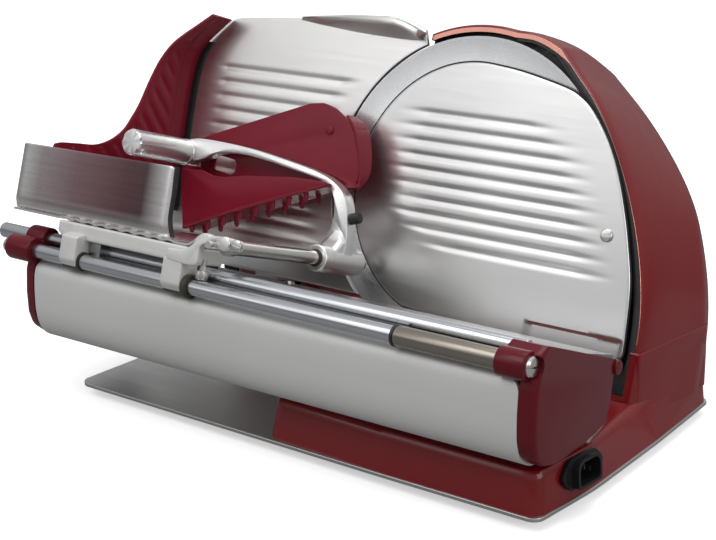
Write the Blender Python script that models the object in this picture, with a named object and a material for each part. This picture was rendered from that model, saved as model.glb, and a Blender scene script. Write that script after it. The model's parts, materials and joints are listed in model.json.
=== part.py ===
import math
import bmesh
import bpy
from mathutils import Matrix, Vector

# Domestic gravity-feed food slicer with a 250 mm blade.
# Sizes are millimetres. The working group leans back by TILT.
# X runs along the rails, T runs square through the blade and away from the table,
# N runs up in the blade plane. All three start at the blade centre.
# Y and Z of the level parts start at the same centre.

MM = 0.001
TILT = math.radians(17.1)
SIN_T = math.sin(TILT)
COS_T = math.cos(TILT)
SHIFT_X = 59.75
SHIFT_Y = 42.6
GAP = 0.3
SEAT = 0.02
TURN_GAP = 0.06

# Blade and drive
BLADE_R = 125.0
BLADE_BORE_R = 10.0
BLADE_DISH = 3.2
SPINDLE_R = 8.0
HUB_R = 30.0
PULLEY_R = 40.0
MOTOR_PULLEY_R = 12.0
MOTOR_X = 112.0
MOTOR_N = -84.0
MOTOR_R = 38.0
BELT_T0 = 12.0
BELT_T1 = 24.0
BELT_THICK = 2.4

# Level parts: heights below the blade centre
BASE_CLEAR = 7.0259
BASE_HEIGHT = 30.5
PLATE_THICK = 3.0
FOOT_HEIGHT = 8.0
FOOT_R = 13.0
FOOT_SPOTS = ((-216.0, -155.0), (158.0, -155.0), (158.0, 56.0), (-216.0, 56.0))
BASE_TOP = -BLADE_R * COS_T - BASE_CLEAR
PLATE_TOP = BASE_TOP - BASE_HEIGHT
PLATE_BOTTOM = PLATE_TOP - PLATE_THICK
FLOOR_DROP = FOOT_HEIGHT - PLATE_BOTTOM

# Cover and gauge plate
BARE_RING = 21.2
COVER_R = BLADE_R - BARE_RING
COVER_THICK = 2.2
COVER_SCREW = (1.069 * BLADE_R, -0.1056 * BLADE_R)
RIB_PITCH = 11.5
RIB_FIRST = 59.3
RIB_COUNT = 10
GAUGE_T = 1.0
GAUGE_THICK = 3.2
EDGE_GAP = 2.2
GAUGE_R = BLADE_R + EDGE_GAP
GAUGE_LEFT = -301.5
GAUGE_BOTTOM = -96.0
GAUGE_RIB_PITCH = 12.5
GAUGE_RIB_FIRST = 75.0
GAUGE_RIB_COUNT = 12

# Casting
WALL = 4.5
SHELL_DEPTH = 104.0
RIM_BAND = 6.0
SEAL_THICK = 2.2
SEAL_SEAT = 0.4
SEAL_GAP = 0.9
RIM_R = BLADE_R + SEAL_GAP + SEAL_THICK + SEAL_SEAT + RIM_BAND

# Rails
BAR_T = -188.0
BAR_N = -104.0
BAR_R = 6.05
ROD_T = -172.0
ROD_N = -94.5
ROD_R = 6.2
SLEEVE_R = 7.2
SLEEVE_X0 = 85.8
CAP_X0 = 169.5
CAP_X1 = 197.0
CAP_TAPER = 0.075
LEFT_CAP_X0 = -276.0
LEFT_CAP_X1 = -263.5
BOSS_R = 10.2
DECK_N = -94.5
DECK_REAR = -60.0

# Table and carriage
FLOOR_N = -73.6
TABLE_X0 = -300.0
TABLE_X1 = -106.0
WALL_T = -182.0
FOOT_1 = (-228.0, -211.0)
FOOT_2 = (-121.0, -102.0)
BUSH_R = 8.7
THUMB = (-92.2, -185.6)
LUG_T = (-199.0, -188.0)
STUD_R = 3.0

# Last-slice holder
SHAFT_X = -79.0
SHAFT_N = -70.3
SHAFT_R = 5.5
SLEEVE_WALL = 1.5
HUB_T0 = -70.0
HUB_T1 = -16.0
ARM_T0 = -46.0
ARM_T1 = -34.0
GRIP_X = -252.5
GRIP_N = -5.6
GRIP_R = 10.9

# Controls on the left side
POD_X = -238.0
POD_TOP = BASE_TOP + 54.5
KNOB_Y = 28.0
KNOB_Z = BASE_TOP + 18.5
KNOB_R = 22.0
KNOB_SHAFT_R = 4.0
BUTTON_Y = 63.0
BUTTON_Z = (BASE_TOP + 30.5, BASE_TOP + 2.5)
BUTTON_R = 8.0
CAM_X = (-222.0, -216.0)
CAM_R0 = 8.0
CAM_LIFT = 15.0
CAM_TURN = 300.0
GUIDE_X = -185.0
GUIDE_N = KNOB_Z * COS_T + KNOB_Y * SIN_T + 6.64
GUIDE_R = 6.0
GUIDE_T0 = 28.0


def level(x, y, z):
    return Vector(((x + SHIFT_X) * MM, (y + SHIFT_Y) * MM, (z + FLOOR_DROP) * MM))


def lean(x, t, n):
    return level(x, t * COS_T + n * SIN_T, -t * SIN_T + n * COS_T)


def n_at_height(z, t):
    return (z + t * SIN_T) / COS_T


def on_xn(u, v, w):
    return lean(u, w, v)


def on_tn(u, v, w):
    return lean(w, u, v)


def on_xt(u, v, w):
    return lean(u, v, w)


def on_yz(u, v, w):
    return level(w, u, v)


def on_xy(u, v, w):
    return level(u, v, w)


def material(name, color, metallic, rough):
    mat = bpy.data.materials.new(name)
    mat.use_nodes = True
    node = mat.node_tree.nodes["Principled BSDF"]
    node.inputs["Base Color"].default_value = (*color, 1.0)
    node.inputs["Metallic"].default_value = metallic
    node.inputs["Roughness"].default_value = rough
    mat.diffuse_color = (*color, 1.0)
    return mat


def clear_scene():
    for obj in list(bpy.data.objects):
        bpy.data.objects.remove(obj, do_unlink=True)


def add_mesh(name, verts, faces, mat, sharp=35.0):
    bm = bmesh.new()
    made = [bm.verts.new(v) for v in verts]
    for face in faces:
        bm.faces.new([made[i] for i in face])
    bmesh.ops.remove_doubles(bm, verts=bm.verts, dist=0.000001)
    bmesh.ops.recalc_face_normals(bm, faces=bm.faces)
    limit = math.radians(sharp)
    for face in bm.faces:
        face.smooth = True
    for edge in bm.edges:
        if len(edge.link_faces) == 2 and edge.calc_face_angle(0.0) > limit:
            edge.smooth = False
    mesh = bpy.data.meshes.new(name)
    bm.to_mesh(mesh)
    bm.free()
    obj = bpy.data.objects.new(name, mesh)
    bpy.context.scene.collection.objects.link(obj)
    if mat is not None:
        mesh.materials.append(mat)
    return obj


def loft(name, rings, mat, sharp=35.0):
    count = len(rings[0])
    verts = [v for ring in rings for v in ring]
    faces = []
    for k in range(len(rings) - 1):
        for i in range(count):
            j = (i + 1) % count
            faces.append((k * count + i, k * count + j, (k + 1) * count + j, (k + 1) * count + i))
    faces.append(tuple(range(count)))
    faces.append(tuple(range((len(rings) - 1) * count, len(rings) * count)))
    return add_mesh(name, verts, faces, mat, sharp)


def prism(name, points, w0, w1, place, mat, sharp=35.0):
    rings = [[place(u, v, w) for u, v in points] for w in (w0, w1)]
    return loft(name, rings, mat, sharp)


def soft_prism(name, corners, w0, w1, place, mat, edge, steps=3):
    """Prism of (x, y, radius) corners with both rims eased by edge."""
    rows = [(-edge, w0), (-edge * 0.3, w0 + edge * 0.3), (0.0, w0 + edge), (0.0, w1 - edge),
            (-edge * 0.3, w1 - edge * 0.3), (-edge, w1)]
    rings = [[place(u, v, w) for u, v in grown(corners, g, steps)] for g, w in rows]
    return loft(name, rings, mat)


def revolve(name, profile, place, mat, steps=32, sharp=35.0):
    """Closed profile of (radius, along) pairs turned about the axis that place() gives."""
    verts = []
    for i in range(steps):
        a = 2.0 * math.pi * i / steps
        for r, h in profile:
            verts.append(place(r * math.cos(a), r * math.sin(a), h))
    count = len(profile)
    faces = []
    for i in range(steps):
        k = (i + 1) % steps
        for j in range(count):
            m = (j + 1) % count
            faces.append((i * count + j, i * count + m, k * count + m, k * count + j))
    return tidy_revolve(name, verts, faces, profile, mat, sharp)


def tidy_revolve(name, verts, faces, profile, mat, sharp):
    bm = bmesh.new()
    made = [bm.verts.new(v) for v in verts]
    for face in faces:
        bm.faces.new([made[i] for i in face])
    bmesh.ops.remove_doubles(bm, verts=bm.verts, dist=0.000001)
    bmesh.ops.dissolve_degenerate(bm, edges=bm.edges, dist=0.000001)
    loose = [f for f in bm.faces if f.calc_area() < 1e-14]
    bmesh.ops.delete(bm, geom=loose, context='FACES')
    verts = [v.co.copy() for v in bm.verts]
    bm.verts.index_update()
    faces = [tuple(v.index for v in f.verts) for f in bm.faces]
    bm.free()
    return add_mesh(name, verts, faces, mat, sharp)


def about_t(x, n):
    return lambda u, v, h: lean(x + u, h, n + v)


def about_x(t, n):
    return lambda u, v, h: lean(h, t + u, n + v)


def about_level_x(y, z):
    return lambda u, v, h: level(h, y + u, z + v)


def about_z(x, y):
    return lambda u, v, h: level(x + u, y + v, h)


def disc(r, h0, h1, edge=0.0):
    if edge <= 0.0:
        return [(0.0, h0), (r, h0), (r, h1), (0.0, h1)]
    return [(0.0, h0), (r - edge, h0), (r, h0 + edge), (r, h1 - edge), (r - edge, h1), (0.0, h1)]


def ring(r0, r1, h0, h1, edge=0.0):
    if edge <= 0.0:
        return [(r0, h0), (r1, h0), (r1, h1), (r0, h1)]
    return [(r0, h0), (r1 - edge, h0), (r1, h0 + edge), (r1, h1 - edge), (r1 - edge, h1), (r0, h1)]


def arc(cx, cy, r, a0, a1, count):
    out = []
    for i in range(count + 1):
        a = math.radians(a0 + (a1 - a0) * i / count)
        out.append((cx + r * math.cos(a), cy + r * math.sin(a)))
    return out


def rounded(corners, steps=5):
    """Loop of (x, y, radius) corners with each corner rounded."""
    out = []
    count = len(corners)
    for i in range(count):
        x, y, r = corners[i]
        p = Vector((x, y))
        a = Vector(corners[i - 1][:2]) - p
        b = Vector(corners[(i + 1) % count][:2]) - p
        if r <= 0.0:
            out.append((x, y))
            continue
        half = a.angle(b) / 2.0
        cut = min(r / math.tan(half), a.length * 0.49, b.length * 0.49)
        p0 = p + a.normalized() * cut
        p1 = p + b.normalized() * cut
        for k in range(steps + 1):
            s = k / steps
            q = p0 * (1 - s) ** 2 + p * 2 * s * (1 - s) + p1 * s ** 2
            out.append((q.x, q.y))
    return out


def grown(corners, amount, steps=5):
    """Rounded loop whose sides are moved outward by amount."""
    sides = offset_loop([(x, y) for x, y, r in corners], amount)
    sized = []
    for (x, y), (_, _, r) in zip(sides, corners):
        sized.append((x, y, max(r + amount, 0.8) if r > 0.0 else 0.0))
    return rounded(sized, steps)


def level_loft(name, corners, rows, mat):
    rings = [[level(x, y, z) for x, y in grown(corners, g, 3)] for g, z in rows]
    return loft(name, rings, mat)


def smooth_line(points, steps=4):
    out = []
    for i in range(len(points) - 1):
        p0 = Vector(points[max(i - 1, 0)])
        p1 = Vector(points[i])
        p2 = Vector(points[i + 1])
        p3 = Vector(points[min(i + 2, len(points) - 1)])
        for k in range(steps):
            s = k / steps
            q = 0.5 * (2 * p1 + (p2 - p0) * s + (2 * p0 - 5 * p1 + 4 * p2 - p3) * s * s
                       + (3 * p1 - p0 - 3 * p2 + p3) * s ** 3)
            out.append((q.x, q.y))
    out.append(tuple(points[-1]))
    return out


def loop_area(points):
    total = 0.0
    for i in range(len(points)):
        x0, y0 = points[i - 1]
        x1, y1 = points[i]
        total += x0 * y1 - x1 * y0
    return total / 2.0


def offset_loop(points, amount):
    """Loop moved outward by amount, or inward where it is negative."""
    side = 1.0 if loop_area(points) > 0.0 else -1.0
    out = []
    count = len(points)
    for i in range(count):
        p = Vector(points[i])
        a = p - Vector(points[i - 1])
        b = Vector(points[(i + 1) % count]) - p
        if a.length < 1e-9:
            a = b
        if b.length < 1e-9:
            b = a
        na = Vector((a.y, -a.x)).normalized() * side
        nb = Vector((b.y, -b.x)).normalized() * side
        m = (na + nb)
        m = m / max(m.length_squared / 2.0, 0.6)
        q = p + m * amount
        out.append((q.x, q.y))
    return out


def offset_line(points, amount):
    out = []
    for i in range(len(points)):
        a = Vector(points[max(i - 1, 0)])
        b = Vector(points[min(i + 1, len(points) - 1)])
        d = (b - a).normalized()
        out.append((points[i][0] + d.y * amount, points[i][1] - d.x * amount))
    return out


def cutter(obj):
    obj.hide_render = True
    obj.display_type = 'WIRE'
    return obj


def combine(obj, other, how, solver='EXACT'):
    mod = obj.modifiers.new(how + "_" + other.name, 'BOOLEAN')
    mod.operation = how
    mod.solver = solver
    mod.object = cutter(other)
    return obj


# Red casting

BASE_CORNERS = ((-50, -186, 14), (60, -191.0, 200), (188.0, -191.8, 11), (192.2, -121, 90), (188.6, -18, 200),
                (182.0, 83, 12), (-243, 83, 14), (-244, -20, 12), (-62, -20, 18), (-53, -70, 30))
CREST_CORNERS = ((-48, -180, 14), (60, -186.0, 200), (185.5, -188.5, 14), (189.2, -122, 60), (176.5, -45, 120),
                 (182.5, 78, 14), (-236, 79, 14), (-237, -16, 12), (-58, -16, 18), (-49, -70, 30))
POD_CORNERS = ((POD_X, 0, 9), (-150, 0, 9), (-150, 80, 14), (POD_X, 80, 9))
SHOULDER_CORNERS = ((40, -26, 6), (176.0, -29.0, 2), (180.9, 25, 200), (185.4, 74, 9), (40, 74, 9))
SLOT_X = (GUIDE_X - 21.0, GUIDE_X + 21.0)
BULKHEAD_T = (8.0, 11.0)

# Right flank of the rim in rim radii, from the end of the round part down to the base
RIM_SIDE = ((0.2974, 0.974), (0.3717, 0.9517), (0.435, 0.9205), (0.5056, 0.8669), (0.6141, 0.7903), (0.7197, 0.6944),
            (0.8253, 0.5665), (0.9242, 0.4164), (0.9955, 0.3033), (1.0781, 0.1576), (1.148, 0.0112), (1.2067, -0.1599),
            (1.2506, -0.3323), (1.2803, -0.5071), (1.296, -0.684))


def rim_outer():
    head = arc(0, 0, RIM_R, 114.0, 80.0, 8)
    side = smooth_line([head[-1]] + [(x * RIM_R, n * RIM_R) for x, n in RIM_SIDE], 2)
    return head + side[1:]


def flank(n):
    """Share of the sideways flare at height n: none at the crown, all of it below the blade centre."""
    s = min(max((0.86 * RIM_R - n) / (0.8 * RIM_R), 0.0), 1.0)
    return s * s * (3.0 - 2.0 * s)


def shell_loop(grow, flare, drop, t):
    """Outline of the motor housing at depth t, closed at height drop."""
    line = rim_outer()
    out = [(x + flare * flank(n) * (1.0 if x > 0.0 else 0.0), n) for x, n in offset_line(line, -grow)]
    low = n_at_height(drop, t)
    right = out[-1][0]
    left = out[0][0] - grow * 0.3
    return out + [(right + 0.4, (out[-1][1] + low) / 2), (right + 0.4, low), (left, low), (left, low * 0.5)]


def shell_loft(name, rows, drop, mat):
    rings = [[lean(x, t, n) for x, n in shell_loop(g, f, drop, t)] for g, f, t in rows]
    return loft(name, rings, mat)


def crest_loft(name, rows, mat):
    """Level rings between the base's foot and its crest; rows are (share, grow, z)."""
    rings = []
    for share, grow, z in rows:
        corners = [(a[0] + (b[0] - a[0]) * share, a[1] + (b[1] - a[1]) * share, a[2] + (b[2] - a[2]) * share)
                   for a, b in zip(BASE_CORNERS, CREST_CORNERS)]
        rings.append([level(x, y, z) for x, y in grown(corners, grow, 3)])
    return loft(name, rings, mat)


def build_housing(mat):
    rows = [(0.0, 0.0, PLATE_TOP), (0.72, 0.0, BASE_TOP - 7.0), (0.9, -0.3, BASE_TOP - 3.0),
            (1.0, -1.6, BASE_TOP - 0.8), (1.0, -4.0, BASE_TOP)]
    body = crest_loft("housing", rows, mat)
    sunk = BASE_TOP - 13.5
    rows = [(1.2, sunk), (0.9, BASE_TOP + 8.0), (0.0, BASE_TOP + 35.4), (-0.9, BASE_TOP + 36.5)]
    block = level_loft("housing_shoulder", SHOULDER_CORNERS, rows, None)
    rows = [(-2.6, 0.0, 0.0), (-0.8, 0.0, 0.6), (0.0, 0.2, 2.6), (0.5, 1.4, 10.0), (0.2, 5.0, 38.0),
            (-1.2, 10.0, 74.0), (-3.6, 14.6, 94.0), (-7.0, 14.8, 100.0), (-12.5, 13.0, SHELL_DEPTH)]
    shell = shell_loft("housing_shell", rows, sunk, None)
    rows = [(3.0, sunk), (0.0, POD_TOP - 8.0), (-2.0, POD_TOP - 3.0), (-6.0, POD_TOP)]
    pod = level_loft("housing_pod", POD_CORNERS, rows, None)
    for other in (block, shell, pod):
        combine(body, other, 'UNION')
    hollow_housing(body)
    fill_housing(body)
    return body


def hollow_housing(body):
    rows = [(-0.08, -3.5, PLATE_TOP - 3.0), (0.8, -4.5, BASE_TOP - WALL - 4.0), (1.0, -7.5, BASE_TOP - WALL)]
    low = crest_loft("housing_cut_base", rows, None)
    rows = [(-4.0, 0.4, 5.0), (-4.2, 4.0, 38.0), (-5.6, 9.0, 74.0), (-8.4, 13.0, 91.0), (-16.0, 12.0, SHELL_DEPTH - WALL)]
    inner = shell_loft("housing_cut_shell", rows, PLATE_TOP - 2.0, None)
    rows = [(-WALL, PLATE_TOP - 2.5), (-WALL - 0.5, POD_TOP - WALL - 0.5)]
    pod_cut = level_loft("housing_cut_pod", POD_CORNERS, rows, None)
    mouth = offset_line(rim_outer(), RIM_BAND)
    last = n_at_height(BASE_TOP + 3.0, 4.0)
    mouth = [(-90.0, mouth[0][1])] + mouth + [(mouth[-1][0], last), (-90.0, last)]
    front = prism("housing_cut_front", mouth, -6.0, 6.0, on_xn, None)
    inlet = prism("housing_cut_inlet", inlet_loop(27.4, 19.4, 3.0), 160.0, 200.0, on_inlet, None)
    slot = prism("housing_cut_slot", [(SLOT_X[0], -6.0), (SLOT_X[1], -6.0), (SLOT_X[1], 12.0), (SLOT_X[0], 12.0)],
                 BASE_TOP + 0.5, POD_TOP + 2.0, on_xy, None)
    pocket = revolve("housing_cut_pocket", disc(BLADE_R + 0.9, -1.0, 7.4), about_t(0, 0), None, 72)
    for other in (low, inner, pod_cut, front, inlet, slot, pocket):
        combine(body, other, 'DIFFERENCE')
    for x0, y, z, r in ((POD_X, KNOB_Y, KNOB_Z, KNOB_SHAFT_R + TURN_GAP), (POD_X, BUTTON_Y, BUTTON_Z[0], BUTTON_R + GAP),
                        (POD_X, BUTTON_Y, BUTTON_Z[1], BUTTON_R + GAP)):
        hole = revolve("housing_cut_hole", disc(r, x0 - 4.0, x0 + 12.0), about_level_x(y, z), None, 24)
        combine(body, hole, 'DIFFERENCE')


def fill_housing(body):
    """Wall behind the blade and the boss that takes the cover screw."""
    edge = offset_line(rim_outer(), 1.5)
    low = n_at_height(BASE_TOP - 1.0, 9.0)
    left = arc(0, 0, BLADE_R + 1.2, 205.0, 116.0, 20)
    loop = left + edge + [(edge[-1][0], low), (-57.0, low), (-60.0, -112.0)]
    wall = prism("housing_bulkhead", loop, BULKHEAD_T[0], BULKHEAD_T[1], on_xn, None)
    combine(body, wall, 'UNION')
    boss = revolve("housing_boss", disc(7.0, -0.9, BULKHEAD_T[0] + 1.0), about_t(*COVER_SCREW), None, 20)
    combine(body, boss, 'UNION')
    eye = revolve("housing_cut_eye", disc(PULLEY_R + 4.0, 4.0, 16.0), about_t(0, 0), None, 40)
    combine(body, eye, 'DIFFERENCE')
    tap = revolve("housing_cut_tap", disc(3.0, -4.0, 14.0), about_t(*COVER_SCREW), None, 20)
    combine(body, tap, 'DIFFERENCE')


# Power inlet on the right side

INLET_Y = -139.0
INLET_Z = BASE_TOP - 11.5
INLET_YAW = math.radians(3.3)
INLET_PITCH = math.radians(4.5)
INLET_FACE = 190.0


def on_inlet(u, v, w):
    """u along the side face, v up, w outward."""
    out = (w - INLET_FACE) * math.cos(INLET_PITCH) - v * math.sin(INLET_PITCH)
    x = INLET_FACE + out * math.cos(INLET_YAW) + u * math.sin(INLET_YAW)
    y = INLET_Y + u * math.cos(INLET_YAW) - out * math.sin(INLET_YAW)
    return level(x, y, INLET_Z + v * math.cos(INLET_PITCH) + (w - INLET_FACE) * math.sin(INLET_PITCH))


def inlet_loop(width, height, r):
    w = width / 2
    h = height / 2
    return rounded([(-w, -h, r), (w, -h, r), (w, h, r * 2.4), (-w, h, r * 2.4)], 3)


def build_inlet(black):
    face = INLET_FACE
    ear = [(-25, 0), (-22.8, 4.4), (-15, 11), (15, 11), (22.8, 4.4), (25, 0), (22.8, -4.4), (15, -11), (-15, -11),
           (-22.8, -4.4)]
    flange = prism("inlet", ear, face + 0.3, face + 3.2, on_inlet, black)
    collar = prism("inlet_collar", inlet_loop(29.6, 20.4, 3.0), face + 2.0, face + 9.0, on_inlet, None)
    plug = prism("inlet_body", inlet_loop(26.8, 18.8, 3.0), face - 18.0, face + 2.0, on_inlet, None)
    well = prism("inlet_well", inlet_loop(24.6, 16.0, 2.6), face - 11.0, face + 12.0, on_inlet, None)
    combine(flange, collar, 'UNION')
    combine(flange, plug, 'UNION')
    combine(flange, well, 'DIFFERENCE')
    for u in (-7.0, 0.0, 7.0):
        v = 1.6 if u == 0.0 else -1.6
        pin = [(u - 1.0, v - 2.0), (u + 1.0, v - 2.0), (u + 1.0, v + 2.0), (u - 1.0, v + 2.0)]
        combine(flange, prism("inlet_pin", pin, face - 13.0, face + 4.0, on_inlet, None), 'UNION')


# Base plate and feet

def build_base(metal, rubber):
    plan = rounded([(-247.0, -187.5, 12), (60, -192.6, 600), (189.4, -193.4, 9), (193.6, -121, 300), (189.8, -18, 400),
                    (183.2, 84.5, 11), (-40, 85.5, 600), (-247.5, 84.5, 14), (-248.5, -60, 500)], 6)
    prism("base_plate", plan, PLATE_BOTTOM, PLATE_TOP - 0.02, on_xy, metal)
    for i, (x, y) in enumerate(FOOT_SPOTS):
        low = -FLOOR_DROP
        profile = [(0.0, low), (FOOT_R - 1.5, low), (FOOT_R, low + 1.5), (FOOT_R - 1.2, PLATE_BOTTOM - 0.02),
                   (0.0, PLATE_BOTTOM - 0.02)]
        revolve("foot_%d" % (i + 1), profile, about_z(x, y), rubber, 24)


# Blade, drive and motor

def build_blade(metal, dark, belt_mat, steel):
    r = BLADE_R
    profile = [(BLADE_BORE_R, 4.2), (COVER_R, BLADE_DISH), (r - 2.6, 0.42), (r, 0.1), (r - 4.0, 1.9),
               (COVER_R, 5.0), (BLADE_BORE_R, 5.8)]
    revolve("blade", profile, about_t(0, 0), metal, 80, 25.0)
    profile = [(0.0, 1.8), (BLADE_BORE_R - 0.1, 1.8), (BLADE_BORE_R - 0.1, 6.0),
               (HUB_R, 6.0), (HUB_R, 10.0), (PULLEY_R, 10.0), (PULLEY_R, 26.0), (14.0, 26.0), (14.0, 29.0),
               (SPINDLE_R, 29.0), (SPINDLE_R, 64.0), (0.0, 64.0)]
    revolve("blade_spindle", profile, about_t(0, 0), steel, 32)
    for i, t in enumerate((30.0, 52.0)):
        race = ring(SPINDLE_R + TURN_GAP, 17.0, t, t + 10.0, 0.6)
        revolve("bearing_%d" % (i + 1), race, about_t(0, 0), steel, 32)
    tube = [(17.03, 29.5), (23.0, 29.5), (23.0, SHELL_DEPTH - WALL - 6.0), (34.0, SHELL_DEPTH - WALL - 4.0), (34.0, SHELL_DEPTH - WALL - 0.02),
            (0.0, SHELL_DEPTH - WALL - 0.02), (0.0, 70.0), (17.03, 70.0)]
    revolve("bearing_carrier", tube, about_t(0, 0), steel, 32)
    motor = [(0.0, 27.0), (12.0, 27.0), (12.0, 32.0), (MOTOR_R - 6.0, 32.0), (MOTOR_R, 38.0), (MOTOR_R, 88.0),
             (MOTOR_R - 8.0, 95.0), (0.0, 95.0)]
    revolve("motor", motor, about_t(MOTOR_X, MOTOR_N), dark, 24)
    build_motor_bracket(steel)
    pulley = [(0.0, 11.3), (MOTOR_PULLEY_R, 11.3), (MOTOR_PULLEY_R, 26.0), (5.0, 26.0), (5.0, 26.8),
              (0.0, 26.8)]
    revolve("motor_pulley", pulley, about_t(MOTOR_X, MOTOR_N), steel, 24)
    build_belt(belt_mat)


def build_motor_bracket(mat):
    """Cradle between the motor and the base plate."""
    floor = PLATE_TOP + 0.02
    x0 = MOTOR_X - 30.0
    x1 = MOTOR_X + 30.0
    t0, t1 = 44.0, 80.0
    ends = []
    for t in (t0, t1):
        ring_pts = [lean(x0, t, n_at_height(floor, t)), lean(x1, t, n_at_height(floor, t))]
        for i in range(9):
            a = math.radians(-30.0 - 120.0 * i / 8)
            r = MOTOR_R + GAP
            ring_pts.append(lean(MOTOR_X + r * math.cos(a), t, MOTOR_N + r * math.sin(a)))
        ends.append(ring_pts)
    loft("motor_bracket", ends, mat)


def build_belt(mat):
    """Flat belt round both pulleys."""
    d = Vector((MOTOR_X, MOTOR_N))
    span = d.length
    base = math.degrees(math.atan2(d.y, d.x))
    lean_deg = math.degrees(math.acos((PULLEY_R - MOTOR_PULLEY_R) / span))
    loops = []
    for grow in (GAP, GAP + BELT_THICK):
        big = arc(0, 0, PULLEY_R + grow, base + lean_deg, base + 360.0 - lean_deg, 24)
        small = arc(MOTOR_X, MOTOR_N, MOTOR_PULLEY_R + grow, base - lean_deg, base + lean_deg, 10)
        loops.append(big + small)
    count = len(loops[0])
    verts = []
    for loop, t in ((loops[0], BELT_T0), (loops[1], BELT_T0), (loops[1], BELT_T1), (loops[0], BELT_T1)):
        verts += [lean(x, t, n) for x, n in loop]
    faces = []
    for k in range(4):
        m = (k + 1) % 4
        for i in range(count):
            j = (i + 1) % count
            faces.append((k * count + i, k * count + j, m * count + j, m * count + i))
    add_mesh("drive_belt", verts, faces, mat)


# Blade cover

# Right flank of the cover in blade radii, from the round part down to its lower corner
COVER_SIDE = ((0.42, 0.7784), (0.6304, 0.7304), (0.7264, 0.6896), (0.816, 0.6248), (0.9232, 0.5048),
              (1.008, 0.3768), (1.0784, 0.236), (1.1472, 0.064), (1.2072, -0.1152), (1.276, -0.3792),
              (1.304, -0.6952))


def cover_loop():
    left = arc(0, 0, COVER_R, 250.0, 68.0, 36)
    edge = smooth_line([left[-1]] + [(x * BLADE_R, n * BLADE_R) for x, n in COVER_SIDE], 3)
    x, n = edge[-1]
    low = rounded([(x, n, 0), (x + 0.6, n - 16.7, 13), (0.48 * BLADE_R, n - 16.7, 0)], 6)
    return left + edge[1:-1] + low


def cover_front(x):
    """Depth of the cover's front face, nearer the viewer over the blade edge on the right."""
    s = min(max((x + 104.0) / 150.0, 0.0), 1.0)
    s = s * s * (3 - 2 * s)
    return 0.3 + (-4.2 - 0.3) * s


def rib_depth(x, n, first, pitch, count, left, right, soft):
    k = (first - n) / pitch
    if k < -0.5 or k > count - 0.5:
        return 0.0
    end = min((x - left) / soft, (right - x) / soft)
    fade = min(max(end, 0.0), 1.0)
    return fade * 0.5 * (1.0 + math.cos(2.0 * math.pi * k))


def cover_ribs(x, n):
    left = -92.0 + (n * n) / 420.0
    if n < -20.0:
        left += (-20.0 - n) * 1.6
    right = 132.0 - n * 0.42 - max(n - 40.0, 0.0) * 0.9
    return rib_depth(x, n, RIB_FIRST, RIB_PITCH, RIB_COUNT, left, right, 26.0)


def grid_slab(name, xs, ns, front, back, mat):
    """Slab whose front face follows front(x, n) and whose back follows back(x)."""
    cols = len(ns)
    verts = [lean(x, front(x, n), n) for x in xs for n in ns]
    half = len(verts)
    for x in xs:
        verts += [lean(x, back(x), ns[0]), lean(x, back(x), ns[-1])]
    faces = []
    for i in range(len(xs) - 1):
        a = i * cols
        b = half + i * 2
        for j in range(cols - 1):
            faces.append((a + j, a + j + 1, a + j + cols + 1, a + j + cols))
        faces.append((b, b + 2, b + 3, b + 1))
        faces.append((a, a + cols, b + 2, b))
        faces.append((a + cols - 1, b + 1, b + 3, a + 2 * cols - 1))
    for i in (0, len(xs) - 1):
        a = i * cols
        faces.append(tuple(a + j for j in range(cols)) + (half + i * 2 + 1, half + i * 2))
    return add_mesh(name, verts, faces, mat, 50.0)


def build_cover(metal, steel):
    out = COVER_R + 8.2
    xs = [-out, -96, -84, -72, -58, -30, 0, 30, 60, 84, 98, 110, 122, 134, 150, BLADE_R * 1.376]
    ns = [-out, -100.0, -80.0, -62.0]
    top = RIB_FIRST + RIB_PITCH * 0.5
    steps = RIB_COUNT * 4
    ns += [top - RIB_PITCH * RIB_COUNT + RIB_PITCH * k / 4.0 for k in range(steps + 1)]
    ns += [74.0, 90.0, out]
    slab = grid_slab("blade_cover", xs, ns, lambda x, n: cover_front(x) + 1.1 * cover_ribs(x, n),
                     lambda x: cover_front(x) + COVER_THICK, metal)
    mould = prism("cover_mould", cover_loop(), -8.0, 8.0, on_xn, None)
    mod = slab.modifiers.new("outline", 'BOOLEAN')
    mod.operation = 'INTERSECT'
    mod.solver = 'EXACT'
    mod.object = cutter(mould)
    cut = prism("cover_step", rounded([(84, -91.5, 3), (158, -90, 4), (160, -98.5, 4), (92, -98.5, 4)]),
                -9.0, -3.2, on_xn, None)
    combine(slab, cut, 'DIFFERENCE')
    place = about_t(*COVER_SCREW)
    combine(slab, revolve("cover_screw_hole", disc(3.2, -9.0, 6.0), place, None, 20), 'DIFFERENCE')
    screw = [(0.0, -6.2), (3.6, -6.2), (5.0, -5.2), (5.0, -4.25), (2.9, -4.25), (2.9, 8.0), (0.0, 8.0)]
    head = revolve("cover_screw", screw, place, steel, 24)
    x, n = COVER_SCREW
    slot = prism("cover_screw_slot", [(x - 6, n + 0.6), (x - 6, n - 0.6), (x + 6, n - 0.6), (x + 6, n + 0.6)],
                 -8.0, -5.2, on_xn, None)
    combine(head, slot, 'DIFFERENCE')


def build_seal(rubber):
    outer = offset_line(rim_outer()[9:], RIM_BAND + SEAL_SEAT)
    outer.append((outer[-1][0], n_at_height(BASE_TOP + 4.0, 4.0)))
    inner = offset_line(outer, SEAL_THICK)
    inner[-1] = (outer[-1][0] - SEAL_THICK, outer[-1][1])
    loop = outer + inner[::-1]
    prism("rim_seal", loop, 0.8, 4.0, on_xn, rubber)


# Gauge plate and its adjustment

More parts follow.
